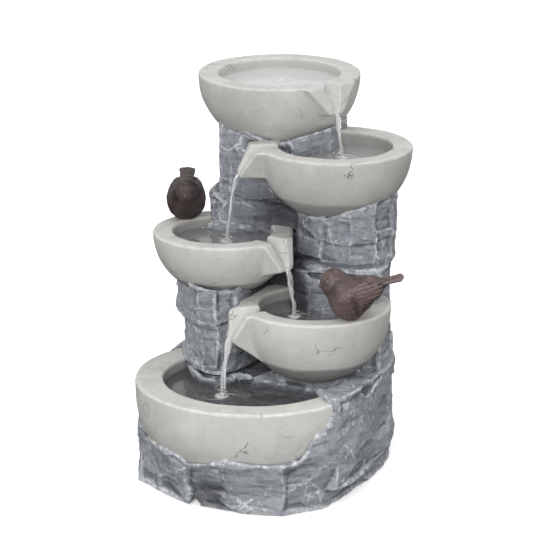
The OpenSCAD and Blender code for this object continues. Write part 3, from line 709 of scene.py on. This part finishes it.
CORE = [(-173, 5), (-181, -22), (-140, -78), (-88, -122), (-56, -122), (-28, -95), (20, -92),
        (80, -99), (137, -102), (154, -134), (186, -176), (209, -176), (220, -141), (222, -102),
        (217, -60), (211, 0), (207, 58), (190, 125), (165, 175), (130, 250), (60, 286),
        (-60, 288), (-150, 270), (-198, 200), (-213, 110), (-190, 50)]
GROUND = [(-205, -140), (-178, -193), (-101, -240), (-36, -268), (61, -266), (139, -244),
          (180, -188), (197, -132), (200, -30), (196, 50), (184, 120), (162, 172), (128, 248),
          (60, 287), (-60, 289), (-150, 274), (-200, 200), (-220, 100), (-216, 0)]
LEDGE = [(-203, -141), (-163, -203), (-124, -247), (-66, -287), (8, -303), (80, -292),
         (142, -260), (176, -230), (199, -202), (215, -172), (223, -138), (224, -102),
         (219, -55), (212, 0), (208, 58), (188, 122), (165, 172), (130, 250), (60, 286),
         (-60, 288), (-150, 272), (-196, 200), (-213, 100), (-208, 0)]
SHOULDER = [(-199, -141), (-158, -203), (-126, -250), (-66, -290), (8, -306), (80, -294),
            (142, -260), (171, -225), (198, -186), (211, -140), (215, -100), (213, -55),
            (209, 0), (206, 58), (188, 125), (163, 175), (128, 250), (60, 286), (-60, 288),
            (-148, 270), (-194, 198), (-208, 100), (-200, 0)]
LEFT_PIER = [(-182, 45), (-190, 0), (-178, -32), (-143, -80), (-90, -118), (-58, -118),
             (-38, -88), (-29, -30), (-28, 45)]
RIGHT_PIER = [(33, 60), (33, 10), (52, -12), (84, -24), (112, -18), (176, -5), (204, 18), (202, 58),
              (189, 98), (166, 139), (146, 195), (108, 260), (33, 276)]
RIGHT_UPPER = [(33, 60), (38, 36), (92, 12), (150, 8), (190, 36), (201, 80), (195, 108),
               (172, 146), (148, 198), (106, 258), (33, 274)]
SPINE = [(-182, 52), (-60, 45), (33, 45), (33, 278), (-60, 286), (-140, 270), (-190, 200),
         (-194, 110)]
COLUMN_FOOT = [(-170, 95), (-145, 52), (-60, 47), (33, 52), (33, 262), (-20, 286), (-90, 284),
               (-146, 262), (-184, 190)]
COLUMN = [(-154, 100), (-130, 57), (-60, 44), (14, 46), (34, 72), (60, 116), (59, 190),
          (30, 256), (-60, 284), (-138, 262), (-178, 190)]

# Height at which the rock meets the basin, by azimuth from the front towards the right
LIP = [(-180, 196), (-100, 196), (-70, 150), (-58, 118), (-44, 108), (-22, 105), (-15, 97),
       (-12, 84), (-9, 86), (0, 93), (10, 109), (19, 105), (29, 100), (40, 97), (48, 105),
       (52, 127), (56, 150), (62, 158), (66, 188), (74, 197), (180, 197)]

# Each stack is a list of (z, outline); the outline is blended between two heights
STACKS = {
    "plinth": [(0, GROUND), (36, GROUND), (98, LEDGE), (150, LEDGE), (200, SHOULDER)],
    "core": [(40, CORE), (204, CORE)],
    "left_pier": [(190, scaled(LEFT_PIER, (-40, -70), 0.94)),
                  (214, scaled(LEFT_PIER, (-40, -70), 0.89)),
                  (280, scaled(LEFT_PIER, (-40, -70), 0.88)),
                  (290, scaled(LEFT_PIER, (-97, -40), 1.03)),
                  (372, scaled(LEFT_PIER, (-97, -40), 1.06))],
    "right_pier": [(190, RIGHT_PIER), (290, RIGHT_PIER),
                   (346, scaled(RIGHT_PIER, (100, 110), 0.98)),
                   (386, RIGHT_PIER), (394, RIGHT_UPPER),
                   (440, RIGHT_UPPER),
                   (515, scaled(RIGHT_UPPER, (110, 120), 1.02))],
    "spine_rock": [(190, SPINE), (436, SPINE)],
    "upper_column": [(425, COLUMN_FOOT), (482, COLUMN_FOOT), (490, COLUMN), (610, COLUMN)],
}


class Sub(Field):
    """A window of the shared grid, aligned with it."""

    def __init__(self, base, lo, hi):
        i0 = np.maximum(np.floor((np.array(lo) - base.lo) / base.h).astype(int) - 2, 0)
        i1 = np.minimum(np.ceil((np.array(hi) - base.lo) / base.h).astype(int) + 3, base.n)
        self.h = base.h
        self.lo = base.lo + i0 * base.h
        self.part = tuple(slice(a, b) for a, b in zip(i0, i1))
        self.lay([a[w] for a, w in zip(base.ax, self.part)])


def stack_field(f, stack, z0, top):
    """Distance to a stack of outlines between z0 and a plan of top heights."""
    plans = [f.plan(lambda x, y, p=p: poly_distance(x, y, p)) for _, p in stack]
    d = np.empty(f.n, np.float32)
    zs = [z for z, _ in stack]
    for k, z in enumerate(f.ax[2]):
        i = int(np.clip(np.searchsorted(zs, z) - 1, 0, len(zs) - 2))
        t = float(np.clip((z - zs[i]) / (zs[i + 1] - zs[i]), 0, 1))
        d[:, :, k] = plans[i] * (1 - t) + plans[i + 1] * t
    return smooth_max(np.maximum(d, z0 - f.z), f.z - top, 6.0).astype(np.float32)


def lip_height(x, y):
    """Top of the rock around the basin, over a plan."""
    az = np.degrees(np.arctan2(x - BASIN.c[0], -(y - BASIN.c[1])))
    keys = np.array(LIP, float)
    return np.interp(az, keys[:, 0], keys[:, 1])


def surface_sites(f, env, g, spacing, seed):
    """Scattered points on the surface of an envelope, no two closer than the spacing."""
    rng = np.random.default_rng(seed)
    sx, sz = spacing
    size = np.array([a[-1] - a[0] for a in f.ax])
    tries = int(np.prod(size) / (sx * sx * sz) * 130)
    pts = f.lo + 4 * f.h + rng.uniform(0, 1, (tries, 3)) * (size - 8 * f.h)
    e = sample(env, f, pts)
    near = np.abs(e) < 0.16 * sx
    pts, e = pts[near], e[near]
    n = np.stack([sample(a, f, pts) for a in g], 1)
    length = np.linalg.norm(n, axis=1)
    good = length > 0.5
    n = n[good] / length[good][:, None]
    pts = pts[good] - n * e[good][:, None]
    flat = pts * [1, 1, sx / sz]
    keep = np.zeros(len(pts), bool)
    kept = np.empty((0, 3))
    for i, q in enumerate(flat):
        if len(kept) == 0 or ((kept - q) ** 2).sum(1).min() > (0.74 * sx) ** 2:
            keep[i] = True
            kept = np.concatenate([kept, q[None]])
    return pts[keep], n[keep], rng.normal(size=(int(keep.sum()), 4))


def chisel(f, env, spacing, tilt, relief, seed, clamp):
    """Flat broken facets laid over a smooth envelope, with sharp ridges between them."""
    g = np.gradient(blur(env, 2), f.h)
    norm = np.sqrt(g[0] ** 2 + g[1] ** 2 + g[2] ** 2) + 1e-3
    g = [a / norm for a in g]
    sites, normals, rand = surface_sites(f, env, g, spacing, seed)
    sx, sz = spacing
    reach = 1.05 * sx
    best = np.full(f.n, -1e3, np.float32)
    drift = [0.04 * sx * f.noise(0.55 * sx, seed + 60 + k) for k in range(3)]
    for s, n, r in zip(sites, normals, rand):
        m = n + tilt * np.clip(r[:3], -1.7, 1.7)
        m /= np.linalg.norm(m)
        win = f.window(s - reach, s + reach)
        if win is None:
            continue
        w, x, y, z = win
        dx, dy, dz = x + drift[0][w] - s[0], y + drift[1][w] - s[1], z + drift[2][w] - s[2]
        val = dx * m[0] + dy * m[1] + dz * m[2] + relief * np.clip(r[3], -1.6, 1.6)
        facing = 1 - (g[0][w] * n[0] + g[1][w] * n[1] + g[2][w] * n[2])
        far = (dx ** 2 + dy ** 2 + dz ** 2 * (sx / sz) ** 2) / sx ** 2
        val = val - facing * sx * 0.9 - 0.8 * sx * np.clip(far - 0.3, 0, None) ** 2
        best[w] = np.maximum(best[w], val)
    return np.clip(np.maximum(best, env - 0.35 * clamp), env - clamp, env + clamp)


def ledges(f, levels, depth, seed):
    """Undercut horizontal breaks in the rock: how far the surface steps back just under each."""
    out = np.zeros(f.n, np.float32)
    rng = np.random.default_rng(seed)
    for z0 in levels:
        a = rng.uniform(0, 6.28, 4)
        x, y = f.x, f.y
        zc = z0 + 5 * np.sin(x / 47 + a[0]) + 4 * np.sin(y / 39 + a[1]) + 2.5 * np.sin(x / 17 + a[2])
        here = np.clip(0.75 + 0.9 * np.sin(x / 61 + a[3]) * np.sin(y / 53 + a[1]), 0, 1)
        t = (zc - f.z) / 22.0
        out += depth * here * np.where(t > 0, np.clip(1 - t, 0, 1) ** 1.6, 0)
    return out


# Each casting: the z range it fills, what it may rise beyond that, the bowl seated in it and the
# least box of grid around it
CASTINGS = {"base_rock": (1.5, 200, 8, LOWER, (-232, -316, 0), (240, 300, 0)),
            "left_pier": (200, 384, 4, LEFT, (-200, -130, 0), (0, 50, 0)),
            "right_pier": (200, 534, 4, RIGHT, (25, -45, 0), (222, 285, 0)),
            "spine_rock": (200, 430, 4, None, (-200, 38, 0), (40, 292, 0)),
            "upper_column": (430, 622, 4, TOP, (-190, 38, 0), (66, 292, 0))}


def build_rock():
    """All the rock is broken into facets as one mass and then cut into its castings."""
    lo = np.min([node_box(n)[0] for n in CASTINGS], axis=0)
    hi = np.max([node_box(n)[1] for n in CASTINGS], axis=0)
    lo[:2] -= 8
    hi[:2] += 8
    hi[2] = 628
    g = Field(lo, hi, 2.6)
    lip = g.plan(lip_height)[:, :, None]
    plinth = stack_field(g, STACKS["plinth"], 1.5, lip)
    brow = g.plan(lambda x, y: 196 + 11 * np.clip((x - 120) / 60, 0, 1)
                  * np.clip((-20 - y) / 60, 0, 1))[:, :, None]
    core = stack_field(g, STACKS["core"], 40, brow)
    env = {"base_rock": smooth_min(plinth, core, 8.0)}
    tops = {
        "left_pier": lambda x, y: 359 + 0.55 * np.clip(-115 - x, 0, 30) + 0.25 * np.clip(x + 26, 0, 30),
        "right_pier": lambda x, y: np.clip(496 + 0.15 * (x - 140) + 0.25 * y, 490, 530),
        "spine_rock": lambda x, y: 436 - 16 * np.clip((-146 - x) / 12, 0, 1),
        "upper_column": lambda x, y: 592 + 0.28 * np.abs(x + 20)}
    for name, z0 in (("left_pier", 186), ("right_pier", 186), ("spine_rock", 186),
                     ("upper_column", 425)):
        env[name] = stack_field(g, STACKS[name], z0, g.plan(tops[name])[:, :, None])
    whole = env["base_rock"]
    for name in list(CASTINGS)[1:]:
        whole = smooth_min(whole, env[name], 7.0)
    cut = chisel(g, whole, (112, 70), 0.22, 3.0, 11, 9.0)
    fine = chisel(g, cut, (50, 24), 0.15, 0.9, 12, 3.5)
    cut = cut + 0.5 * (fine - cut)
    shape = cut - whole
    shape += ledges(g, (236, 296, 340, 388, 440, 487), 2.8, 3)
    shape += 1.0 * g.noise((38, 38, 9), 21) + 0.9 * g.noise((17, 17, 4.6), 22)
    shape += 0.45 * g.noise((6.5, 6.5, 3.6), 23)
    clips = {"left_pier": lambda f: f.y - 47, "right_pier": lambda f: 31 - f.x}
    for name, (zl, zh, rise, seated, near, far) in CASTINGS.items():
        a, b = node_box(name)
        a, b = np.minimum(a - 14, near), np.maximum(b + 14, far)
        f = Sub(g, (a[0], a[1], zl - 4), (b[0], b[1], zh + 6))
        if name == "base_rock":
            d = np.maximum(plinth[f.part] + shape[f.part], -bowl_outer(f, BASIN))
            d = smooth_min(d, core[f.part] + shape[f.part], 3.0)
        else:
            d = env[name][f.part] + shape[f.part]
        if seated is not None:
            d = np.maximum(d, -bowl_outer(f, seated))
        d = np.maximum(np.maximum(d, f.z - (zh + rise)), zl - f.z)
        if name in clips:
            d = np.maximum(d, clips[name](f))
        carve(name, f, hollow_out(f, name, d), SLATE, "rock", least=400, wet=rock_wet_and_shade)


def rock_wet_and_shade(v):
    """Rock painted darker: painted shade inside the cave, a painted shadow behind the falls under the top
    bowl, stone darkened by water below the pool's level, and a darker patch low on the left pier's front.
    """
    x, y, z = v.T
    # painted shade in the cave
    cave = 3.2 * np.exp(-((x - 22) / 58) ** 2 - ((y - 8) / 66) ** 2 - ((z - 300) / 95) ** 2)
    # painted shadow behind the falls under the top bowl
    fall = 0.95 * np.exp(-((x + 8) / 68) ** 2 - ((z - 460) / 74) ** 2) * np.clip((130 - y) / 40, 0, 1)
    r = np.hypot(x - BASIN.c[0], y - BASIN.c[1])
    low = 0.75 * np.clip((BASIN.r - 40 - r) / 12, 0, 1) * np.clip((190 - z) / 10, 0, 1)
    back = 0.35 * np.exp(-((x + 60) / 50) ** 2 - ((z - 225) / 22) ** 2) * np.clip((-60 - y) / 20, 0, 1)
    return np.clip(np.maximum(np.maximum(cave, fall), np.maximum(low, back)), 0, 1)


def hollow_out(f, name, d):
    """Keeps the openings of the CAD free."""
    x, y, z = f.p
    holes = []
    if name in ("base_rock", "spine_rock"):
        holes.append(box_distance(f.p, (-138, 74, 77), (8, 238, 316)))  # pump chamber
    if name == "base_rock":
        duct = np.hypot(x + 83, z - 150) - 16
        drain = np.hypot(x + 100, z - 88) - 11
        holes += [np.maximum(duct, np.maximum(-150 - y, y - 100)), np.maximum(drain, 230 - y)]
    if name == "spine_rock":
        cord = np.hypot(y - 190, z - 232) - 11
        holes += [box_distance(f.p, (-113, 230, 222), (-13, 300, 302)),  # service opening
                  box_distance(f.p, (-134.5, 269, 204.5), (8.5, 320, 319.5)),  # door recess
                  np.maximum(cord, x + 130)]
    if name in ("spine_rock", "upper_column"):
        holes.append(np.hypot(x - TOP.c[0], y - TOP.c[1]) - 13)  # riser hose
    for hole in holes:
        d = np.maximum(d, -hole)
    return d


build_rock()


def bowl_wet_and_shade(b, level, dark, inner_wall_shade=0.0, stain=0.0):
    """How dark the stone of a bowl is painted: inside below the water line, partly darkened by water and
    partly painted shade; painted shade on the inner wall above the water; and painted shade under its
    belly.
    """
    def at(v):
        r = np.hypot(v[:, 0] - b.c[0], v[:, 1] - b.c[1])
        inside = np.clip((b.r - b.rim + 10 - r) / 6, 0, 1)
        under = np.clip((level + 3.5 - v[:, 2]) / 3.0, 0, 1)
        rim = np.clip((b.z - 3 - v[:, 2]) / 6, 0, 1)
        # painted shade: the outside under the belly is painted darker, by the amount stain
        belly = stain * (1 - inside) * np.clip((b.z - 66 - v[:, 2]) / 52, 0, 1)
        # inside below the water: partly darkened by water, partly painted shade; inner wall above the
        # water: painted shade
        return inside * (dark * under + inner_wall_shade * (1 - under) * rim) + belly
    return at


# Per bowl: how dark it is painted below the water, painted shade on its inner wall above the water, and
# painted shade under its belly (stain)
for k, (b, key, dark, inner_wall_shade, stain) in enumerate(((TOP, "top", 0.0, 0.16, 0.30),
                                                 (RIGHT, "right", 0.44, 0.46, 0.0),
                                                 (LEFT, "left", 0.55, 0.40, 0.0),
                                                 (LOWER, "lower", 0.60, 0.40, 0.0))):
    carve(b.node, *bowl_piece(b, 100 + 7 * k), CONCRETE, "bowl_stone",
          wet=bowl_wet_and_shade(b, b.z - DROP[key], dark, inner_wall_shade, stain))


# End of the basin that is buried in the right shoulder of the rock
BURIED = [(152, -60), (157, -132), (189, -177), (240, -200), (240, -20), (152, -20)]


def basin_piece():
    """The front basin, cut back where the rock's core and right shoulder cover it."""
    b = BASIN
    reach = b.r + 2
    f = Field((*(b.c - reach), b.z - b.h - 2), (*(b.c + reach), b.z + 2), 2.6)
    d = bowl_section(f, b, profile(b))
    d = d + 0.7 * f.noise(55, 151) + 0.4 * f.noise(19, 152) + 0.15 * f.noise(8, 153)
    core = f.plan(lambda x, y: poly_distance(x, y, CORE))[:, :, None]
    side = f.plan(lambda x, y: poly_distance(x, y, BURIED))[:, :, None]
    d = np.maximum(np.maximum(d, -(core + 4)), -side)
    carve("basin", f, d, CONCRETE, "bowl_stone", wet=bowl_wet_and_shade(b, b.z - DROP["basin"], 0.85, 0.45))


basin_piece()

# ---- access door

SCREW_DX, SCREW_DZ = 60, 48
PULL_DEPTH = 7


def door_piece():
    """The lift-off door: a rock-faced panel with its pull and four countersunk screw holes."""
    lo, hi = node_box("access_door")
    face = hi[1] - PULL_DEPTH
    cx, cz = (lo[0] + hi[0]) / 2, (lo[2] + hi[2]) / 2
    f = Field(lo - 3, hi + 3, 1.2)
    dx, dz = np.abs(f.x - cx), np.abs(f.z - cz)
    screw = np.hypot(dx - SCREW_DX, dz - SCREW_DZ)
    relief = 1.5 + 1.8 * f.noise((40, 40, 14), 501) + 0.8 * f.noise((15, 15, 5), 502)
    relief = np.clip(relief, 0.1, 3.4) * np.clip((screw - 6) / 6, 0, 1)
    d = box_distance(f.p, lo, (hi[0], face, hi[2]), 1.2)
    d = np.maximum(d, f.y - (face - relief))
    grip = box_distance(f.p, (cx - 30, face - 6, cz - 8), (cx + 30, hi[1], cz + 8), 2.0)
    d = smooth_min(d, grip, 2.0)
    finger = box_distance(f.p, (cx - 24, face, cz - 12), (cx + 24, hi[1] + 3, cz + 2), 1.0)
    d = np.maximum(d, -finger)
    d = np.maximum(d, -np.maximum(screw - 4.4, face - 4 - f.y))
    carve("access_door", f, np.maximum(d, -(screw - 2.4)), SLATE, "rock", body="service_door")


door_piece()

# ---- birds

def cone(p, a, b, ra, rb):
    """Distance to a round-ended cone from a to b."""
    a, b = np.array(a, float), np.array(b, float)
    ab = b - a
    t = np.clip(sum((q - v) * w for q, v, w in zip(p, a, ab)) / (ab @ ab), 0, 1)
    d = np.sqrt(sum((q - v - w * t) ** 2 for q, v, w in zip(p, a, ab)))
    return d - (ra + (rb - ra) * t)


def ellipsoid(p, c, r, tilt=0.0, yaw=0.0):
    """Roughly the distance to a turned ellipsoid."""
    x, y, z = (q - v for q, v in zip(p, c))
    ca, sa = math.cos(yaw), math.sin(yaw)
    x, y = x * ca + y * sa, -x * sa + y * ca
    ct, st = math.cos(tilt), math.sin(tilt)
    x, z = x * ct + z * st, -x * st + z * ct
    k = np.sqrt((x / r[0]) ** 2 + (y / r[1]) ** 2 + (z / r[2]) ** 2)
    return (k - 1) * min(r)


def bird(node, seat, z, turn, tip, size=(1.0, 1.0, 1.0)):
    """A songbird on a rim: body, head, tail, wings with feather grooves, beak and eyes."""
    f = Field((-92, -44, -2), (72, 44, 104), 1.5)
    p = f.p
    ay = np.abs(f.y)
    q = (f.x, ay, f.z)
    d = cone(p, (13, 0, 42), (-24, 0, 56), 35.5, 21.5)
    d = smooth_min(d, cone(p, (36, 0, 71), (20, 0, 56), 24.5, 26), 9)
    level = (f.x + 58, f.y, f.z - 66 - (-58 - f.x) * 0.16)
    tail = box_distance(level, (-30, -30, -3.2), (32, 30, 3.2), 2)
    tail = smooth_max(tail, ay - (11 + np.clip(-f.x - 40, 0, 60) * 0.13), 3)
    tail = smooth_max(tail, -f.x - 84 + ay * 0.3, 2)
    tail = smooth_min(tail, cone(p, (-24, 0, 56), (-60, 0, 67), 15, 4), 8)
    d = smooth_min(d, tail, 10)
    wing = ellipsoid(q, (-8, 23.5, 54), (40, 8.5, 18), -0.16, 0.24)
    wing = smooth_max(wing, -(f.z - 40) * 0.9 - (f.x + 40) * 0.35, 4)
    d = smooth_min(d, wing, 3.0)
    slot = np.abs(((f.z + 0.12 * f.x) % 6.4) - 3.2) - 0.4
    edge = np.maximum(np.maximum(wing - 1.2, f.x + 2), slot)
    d = smooth_max(d, -np.maximum(edge, -(wing + 1.0)), 1.2)
    rays = np.abs((f.y % 6.0) - 3.0) - 0.6
    d = smooth_max(d, -np.maximum(np.maximum(rays, f.x + 46), -(tail + 1.0)), 0.8)
    d = smooth_min(d, cone(p, (54, 0, 69), (63.5, 0, 66.5), 6.2, 1.4), 3)
    d = smooth_max(d, -(np.abs(f.z - 67.2 + (f.x - 60) * 0.15) - 0.5 + np.clip(57 - f.x, 0, 9)), 0.6)
    d = smooth_min(d, cone(q, (46, 17.5, 78), (47, 19.4, 78.5), 3.4, 2.6), 0.8)
    d = d + 0.35 * f.noise((9, 5, 6), 301) + 0.25 * f.noise(4, 302)
    t, s = math.radians(tip), math.radians(turn)
    d = np.maximum(d, 8.2 + size[0] * f.x * math.sin(t) - size[2] * f.z * math.cos(t))
    verts, quads, conv = shell(f, d, 3, 60)
    verts = verts * size
    x = verts[:, 0] * math.cos(t) + verts[:, 2] * math.sin(t)
    zz = -verts[:, 0] * math.sin(t) + verts[:, 2] * math.cos(t)
    x = x - 13 * size[0] * math.cos(t) - 42 * size[2] * math.sin(t)
    y = verts[:, 1]
    out = np.stack([seat[0] + x * math.cos(s) - y * math.sin(s),
                    seat[1] + x * math.sin(s) + y * math.cos(s), z - 8 + zz], 1)
    ridge = {"ridge": np.clip(conv * 2.2, 0, 1)}
    stand_in(new_mesh(node + "_skin", out, quads, BIRDS[node], ridge), node)


bird("left_bird", LEFT.c + [-95, 40], LEFT.z, -65, 6)
bird("right_bird", LOWER.c + [93, -59], LOWER.z, -155, 6, (1.03, 1.05, 1.1))

# ---- water

def ripples(x, y, centre, level, seed):
    """Heights of a pool, and its foam: rings and swirls around where the stream lands."""
    rng = np.random.default_rng(seed)
    dist = np.hypot(x - centre[0], y - centre[1])
    z = level + 0.60 * np.sin(dist / 3.4) * np.exp(-dist / 32)
    for _ in range(7):
        a, w = rng.uniform(0, 6.28), rng.uniform(14, 40)
        z = z + 0.05 * np.sin((x * math.cos(a) + y * math.sin(a)) / w * 3 + rng.uniform(0, 6))
    near = np.exp(-(dist / 13) ** 2)
    turn = np.arctan2(y - centre[1], x - centre[0])
    swirl = np.clip(np.sin(dist / 4.6 + 2 * turn + 1.2 * np.sin(x / 11 + seed)), 0, 1) ** 3
    swirl = swirl * np.exp(-(dist / 38) ** 2)
    z = z + near * rng.uniform(-0.7, 1.0, z.shape)
    return z, np.maximum(near, 0.8 * swirl)


def pool(name, b, level, centre, seed, painted_white):
    """The water surface inside a bowl; its outer ring of grid points is drawn in to the wall."""
    step = 3.0
    r = float(b.radius(b.z - level, True)) + 3
    n = int(r / step) + 1
    xs = np.arange(-n, n + 1) * step
    x, y = np.meshgrid(xs, xs, indexing="ij")
    rr = np.hypot(x, y)
    scale = np.where(rr > r, r / np.maximum(rr, 1), 1)
    x, y = x * scale + b.c[0], y * scale + b.c[1]
    z, foam = ripples(x, y, centre, level, seed)
    idx = np.arange(x.size).reshape(x.shape)
    quads = np.stack([idx[:-1, :-1], idx[1:, :-1], idx[1:, 1:], idx[:-1, 1:]], -1).reshape(-1, 4)
    quads = quads[(rr.ravel()[quads] <= r + step).all(1)]
    used, quads = np.unique(quads, return_inverse=True)
    pts = np.stack([x.ravel(), y.ravel(), z.ravel()], 1)[used]
    # each point also carries how much whiter the pool is painted: painted light that makes it whiter and
    # less clear
    ob = new_mesh(name, pts, quads.reshape(-1, 4), WATER,
                  {"foam": foam.ravel()[used], "painted_white": np.full(len(used), painted_white)})
    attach(ob, BODY)


def tube_quads(rings, sides):
    """Quads of a tube whose vertices come ring after ring."""
    i, j = np.meshgrid(np.arange(rings - 1) * sides, np.arange(sides), indexing="ij")
    k = (j + 1) % sides
    return np.stack([i + j, i + k, i + sides + k, i + sides + j], -1).reshape(-1, 4)


def strand(path, radii, seed, sides=10, wobble=1.6):
    """A thread of water along a path, twisting and uneven."""
    rng = np.random.default_rng(seed)
    n = len(path)
    tan = np.gradient(path, axis=0)
    tan /= np.linalg.norm(tan, axis=1)[:, None]
    side = np.cross(tan, [0.3, 0.9, 0.1])
    side /= np.linalg.norm(side, axis=1)[:, None]
    up = np.cross(side, tan)
    wob = np.cumsum(rng.normal(size=(n, 2)), axis=0)
    wob -= np.linspace(0, 1, n)[:, None] * wob[-1]
    wob *= wobble / max(np.abs(wob).max(), 1)
    verts = []
    for i in range(n):
        squash = 1.0 + 0.35 * math.sin(i * 0.9 + seed)
        for a in np.arange(sides) * 2 * math.pi / sides:
            r = radii[i] * (1 + 0.11 * rng.normal())
            verts.append(path[i] + side[i] * (math.cos(a) * r * squash + wob[i, 0])
                         + up[i] * (math.sin(a) * r / squash + wob[i, 1]))
    return np.array(verts), tube_quads(n, sides)


def drop(c, r, sides=8, rings=7):
    """A small round drop."""
    verts = []
    for a in np.linspace(0.02, 0.98, rings) * math.pi:
        for b in np.arange(sides) * 2 * math.pi / sides:
            verts.append((c[0] + r * math.sin(a) * math.cos(b),
                          c[1] + r * math.sin(a) * math.sin(b), c[2] + r * math.cos(a)))
    return np.array(verts), tube_quads(rings, sides)


def stream(name, start, end, seed, strands, width):
    """Water falling from a spout tip: a few twisting strands, splashes and loose drops."""
    start, end = np.array(start, float), np.array(end, float)
    fall = end - start
    rng = np.random.default_rng(seed)
    across = np.cross(fall, [0, 0, 1.0])
    across = across / np.linalg.norm(across)
    t = np.linspace(0, 1, 26)
    run = np.sqrt(t)
    parts = []
    for k in range(strands):
        shift = (k - (strands - 1) / 2) * width / (strands - 1)
        pinch = 0.85 - 0.35 * t + 0.35 * np.sin(t * 9 + k * 2.1)
        path = start + fall * np.stack([run, run, t], 1) + across * (shift * pinch)[:, None]
        r = 2.1 * (1 - 0.30 * t) * (1 + 0.25 * np.sin(t * 17 + k * 1.7))
        parts.append(strand(path, np.maximum(r, 0.8), seed + k))
    for _ in range(16):
        c = end + np.array([rng.normal() * 7, rng.normal() * 7, abs(rng.normal()) * 9 + 1])
        parts.append(drop(c, rng.uniform(0.8, 1.9)))
    for _ in range(20):
        u = rng.uniform(0.2, 1)
        c = start + fall * [math.sqrt(u), math.sqrt(u), u] + rng.normal(size=3) * 2.4
        parts.append(drop(c, rng.uniform(0.7, 1.5)))
    first = np.cumsum([0] + [len(v) for v, _ in parts])
    ob = new_mesh(name, np.concatenate([v for v, _ in parts]),
                  np.concatenate([q + i for (_, q), i in zip(parts, first)]), STREAM)
    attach(ob, BODY)


BUBBLE = TOP.c + [-6, 20]
LANDS = {"top": BUBBLE, "right": (95, 92), "left": (-86, -13), "lower": (68, -52),
         "basin": (-23, -166)}
# Painted light: how much whiter and less clear each pool is painted, most in the top bowl and least in
# the basin
POOL_PAINTED_WHITE = {"top": 0.60, "right": 0.30, "left": 0.20, "lower": 0.15, "basin": 0.10}
BOWLS = {"top": TOP, "right": RIGHT, "left": LEFT, "lower": LOWER, "basin": BASIN}
for k, (key, b) in enumerate(BOWLS.items()):
    pool(key + "_water", b, b.z - DROP[key], LANDS[key], 401 + k, POOL_PAINTED_WHITE[key])
# From each bowl to the next: number of strands and width of the fall
for key, target, strands, width in (("top", "right", 3, 8), ("right", "left", 4, 9),
                                    ("left", "lower", 3, 8), ("lower", "basin", 5, 12)):
    b = BOWLS[key]
    stream(key + "_stream", (*(b.tip() - 4 * b.heading()), b.z - 47),
           (*LANDS[target], BOWLS[target].z - DROP[target] + 0.5), 500 + len(key), strands, width)

# ---- floor, light and camera

floor_me = bpy.data.meshes.new("floor")
bm = bmesh.new()
bmesh.ops.create_grid(bm, x_segments=1, y_segments=1, size=14)
bm.to_mesh(floor_me)
bm.free()
floor = bpy.data.objects.new("floor", floor_me)
bpy.context.scene.collection.objects.link(floor)
fm = Mat("floor_white")
tone = fm.noise(2.0, 2, 0.5)
fm.set(color=fm.mix(tone, (0.93, 0.93, 0.93), (0.96, 0.96, 0.96)), rough=0.9, spec=0.1)
fm.p.inputs["Emission Color"].default_value = (1.0, 1.0, 1.0, 1.0)
fm.p.inputs["Emission Strength"].default_value = 0.45
floor_me.materials.append(fm.m)

world = bpy.data.worlds.new("studio")
world.use_nodes = True
wt = world.node_tree
direction = wt.nodes.new("ShaderNodeTexCoord")
split = wt.nodes.new("ShaderNodeSeparateXYZ")
sky = wt.nodes.new("ShaderNodeMapRange")
sky.interpolation_type = "SMOOTHSTEP"
for end, value in (("From Min", -0.34), ("From Max", 0.08), ("To Min", 0.05), ("To Max", 0.84)):
    sky.inputs[end].default_value = value
wt.links.new(direction.outputs["Generated"], split.inputs[0])
wt.links.new(split.outputs["Z"], sky.inputs["Value"])
wt.links.new(sky.outputs[0], wt.nodes["Background"].inputs[1])
wt.nodes["Background"].inputs[0].default_value = (1.0, 1.0, 1.0, 1.0)
bpy.context.scene.world = world
floor.visible_diffuse = False
floor.visible_glossy = False


def area(name, at, to, size, watts, spread=math.pi):
    """A rectangular light at one point, aimed at another."""
    li = bpy.data.lights.new(name, "AREA")
    li.shape = "RECTANGLE"
    li.size, li.size_y = size
    li.energy = watts
    li.spread = spread
    ob = bpy.data.objects.new(name, li)
    ob.location = at
    ob.rotation_euler = (Vector(to) - Vector(at)).to_track_quat("-Z", "Y").to_euler()
    bpy.context.scene.collection.objects.link(ob)


AIM = Vector((-0.07036, 0.16157, 0.30628))
FOCAL_PIXELS, PHOTO_PIXELS = 2800, 550
area("key", (0.6, -2.05, 1.15), (0, 0, 0.22), (1.1, 0.9), 21)
area("low", (0.45, -1.9, 0.30), (0.02, -0.2, 0.09), (0.7, 0.2), 0.20, spread=0.55)
area("top", (0.0, 0.3, 3.0), (0, 0, 0.3), (2.0, 2.0), 10)

cam = bpy.data.cameras.new("camera")
cam.sensor_width = 36.0
cam.lens = cam.sensor_width * FOCAL_PIXELS / PHOTO_PIXELS
cam.clip_end = 100
cam_ob = bpy.data.objects.new("camera", cam)
az, el, dist = math.radians(25), math.radians(17), 5.283
cam_ob.location = AIM + dist * Vector((math.sin(az) * math.cos(el), -math.cos(az) * math.cos(el),
                                       math.sin(el)))
cam_ob.rotation_euler = (AIM - cam_ob.location).to_track_quat("-Z", "Y").to_euler()
bpy.context.scene.collection.objects.link(cam_ob)
bpy.context.scene.camera = cam_ob
bpy.context.scene.view_settings.view_transform = "Standard"
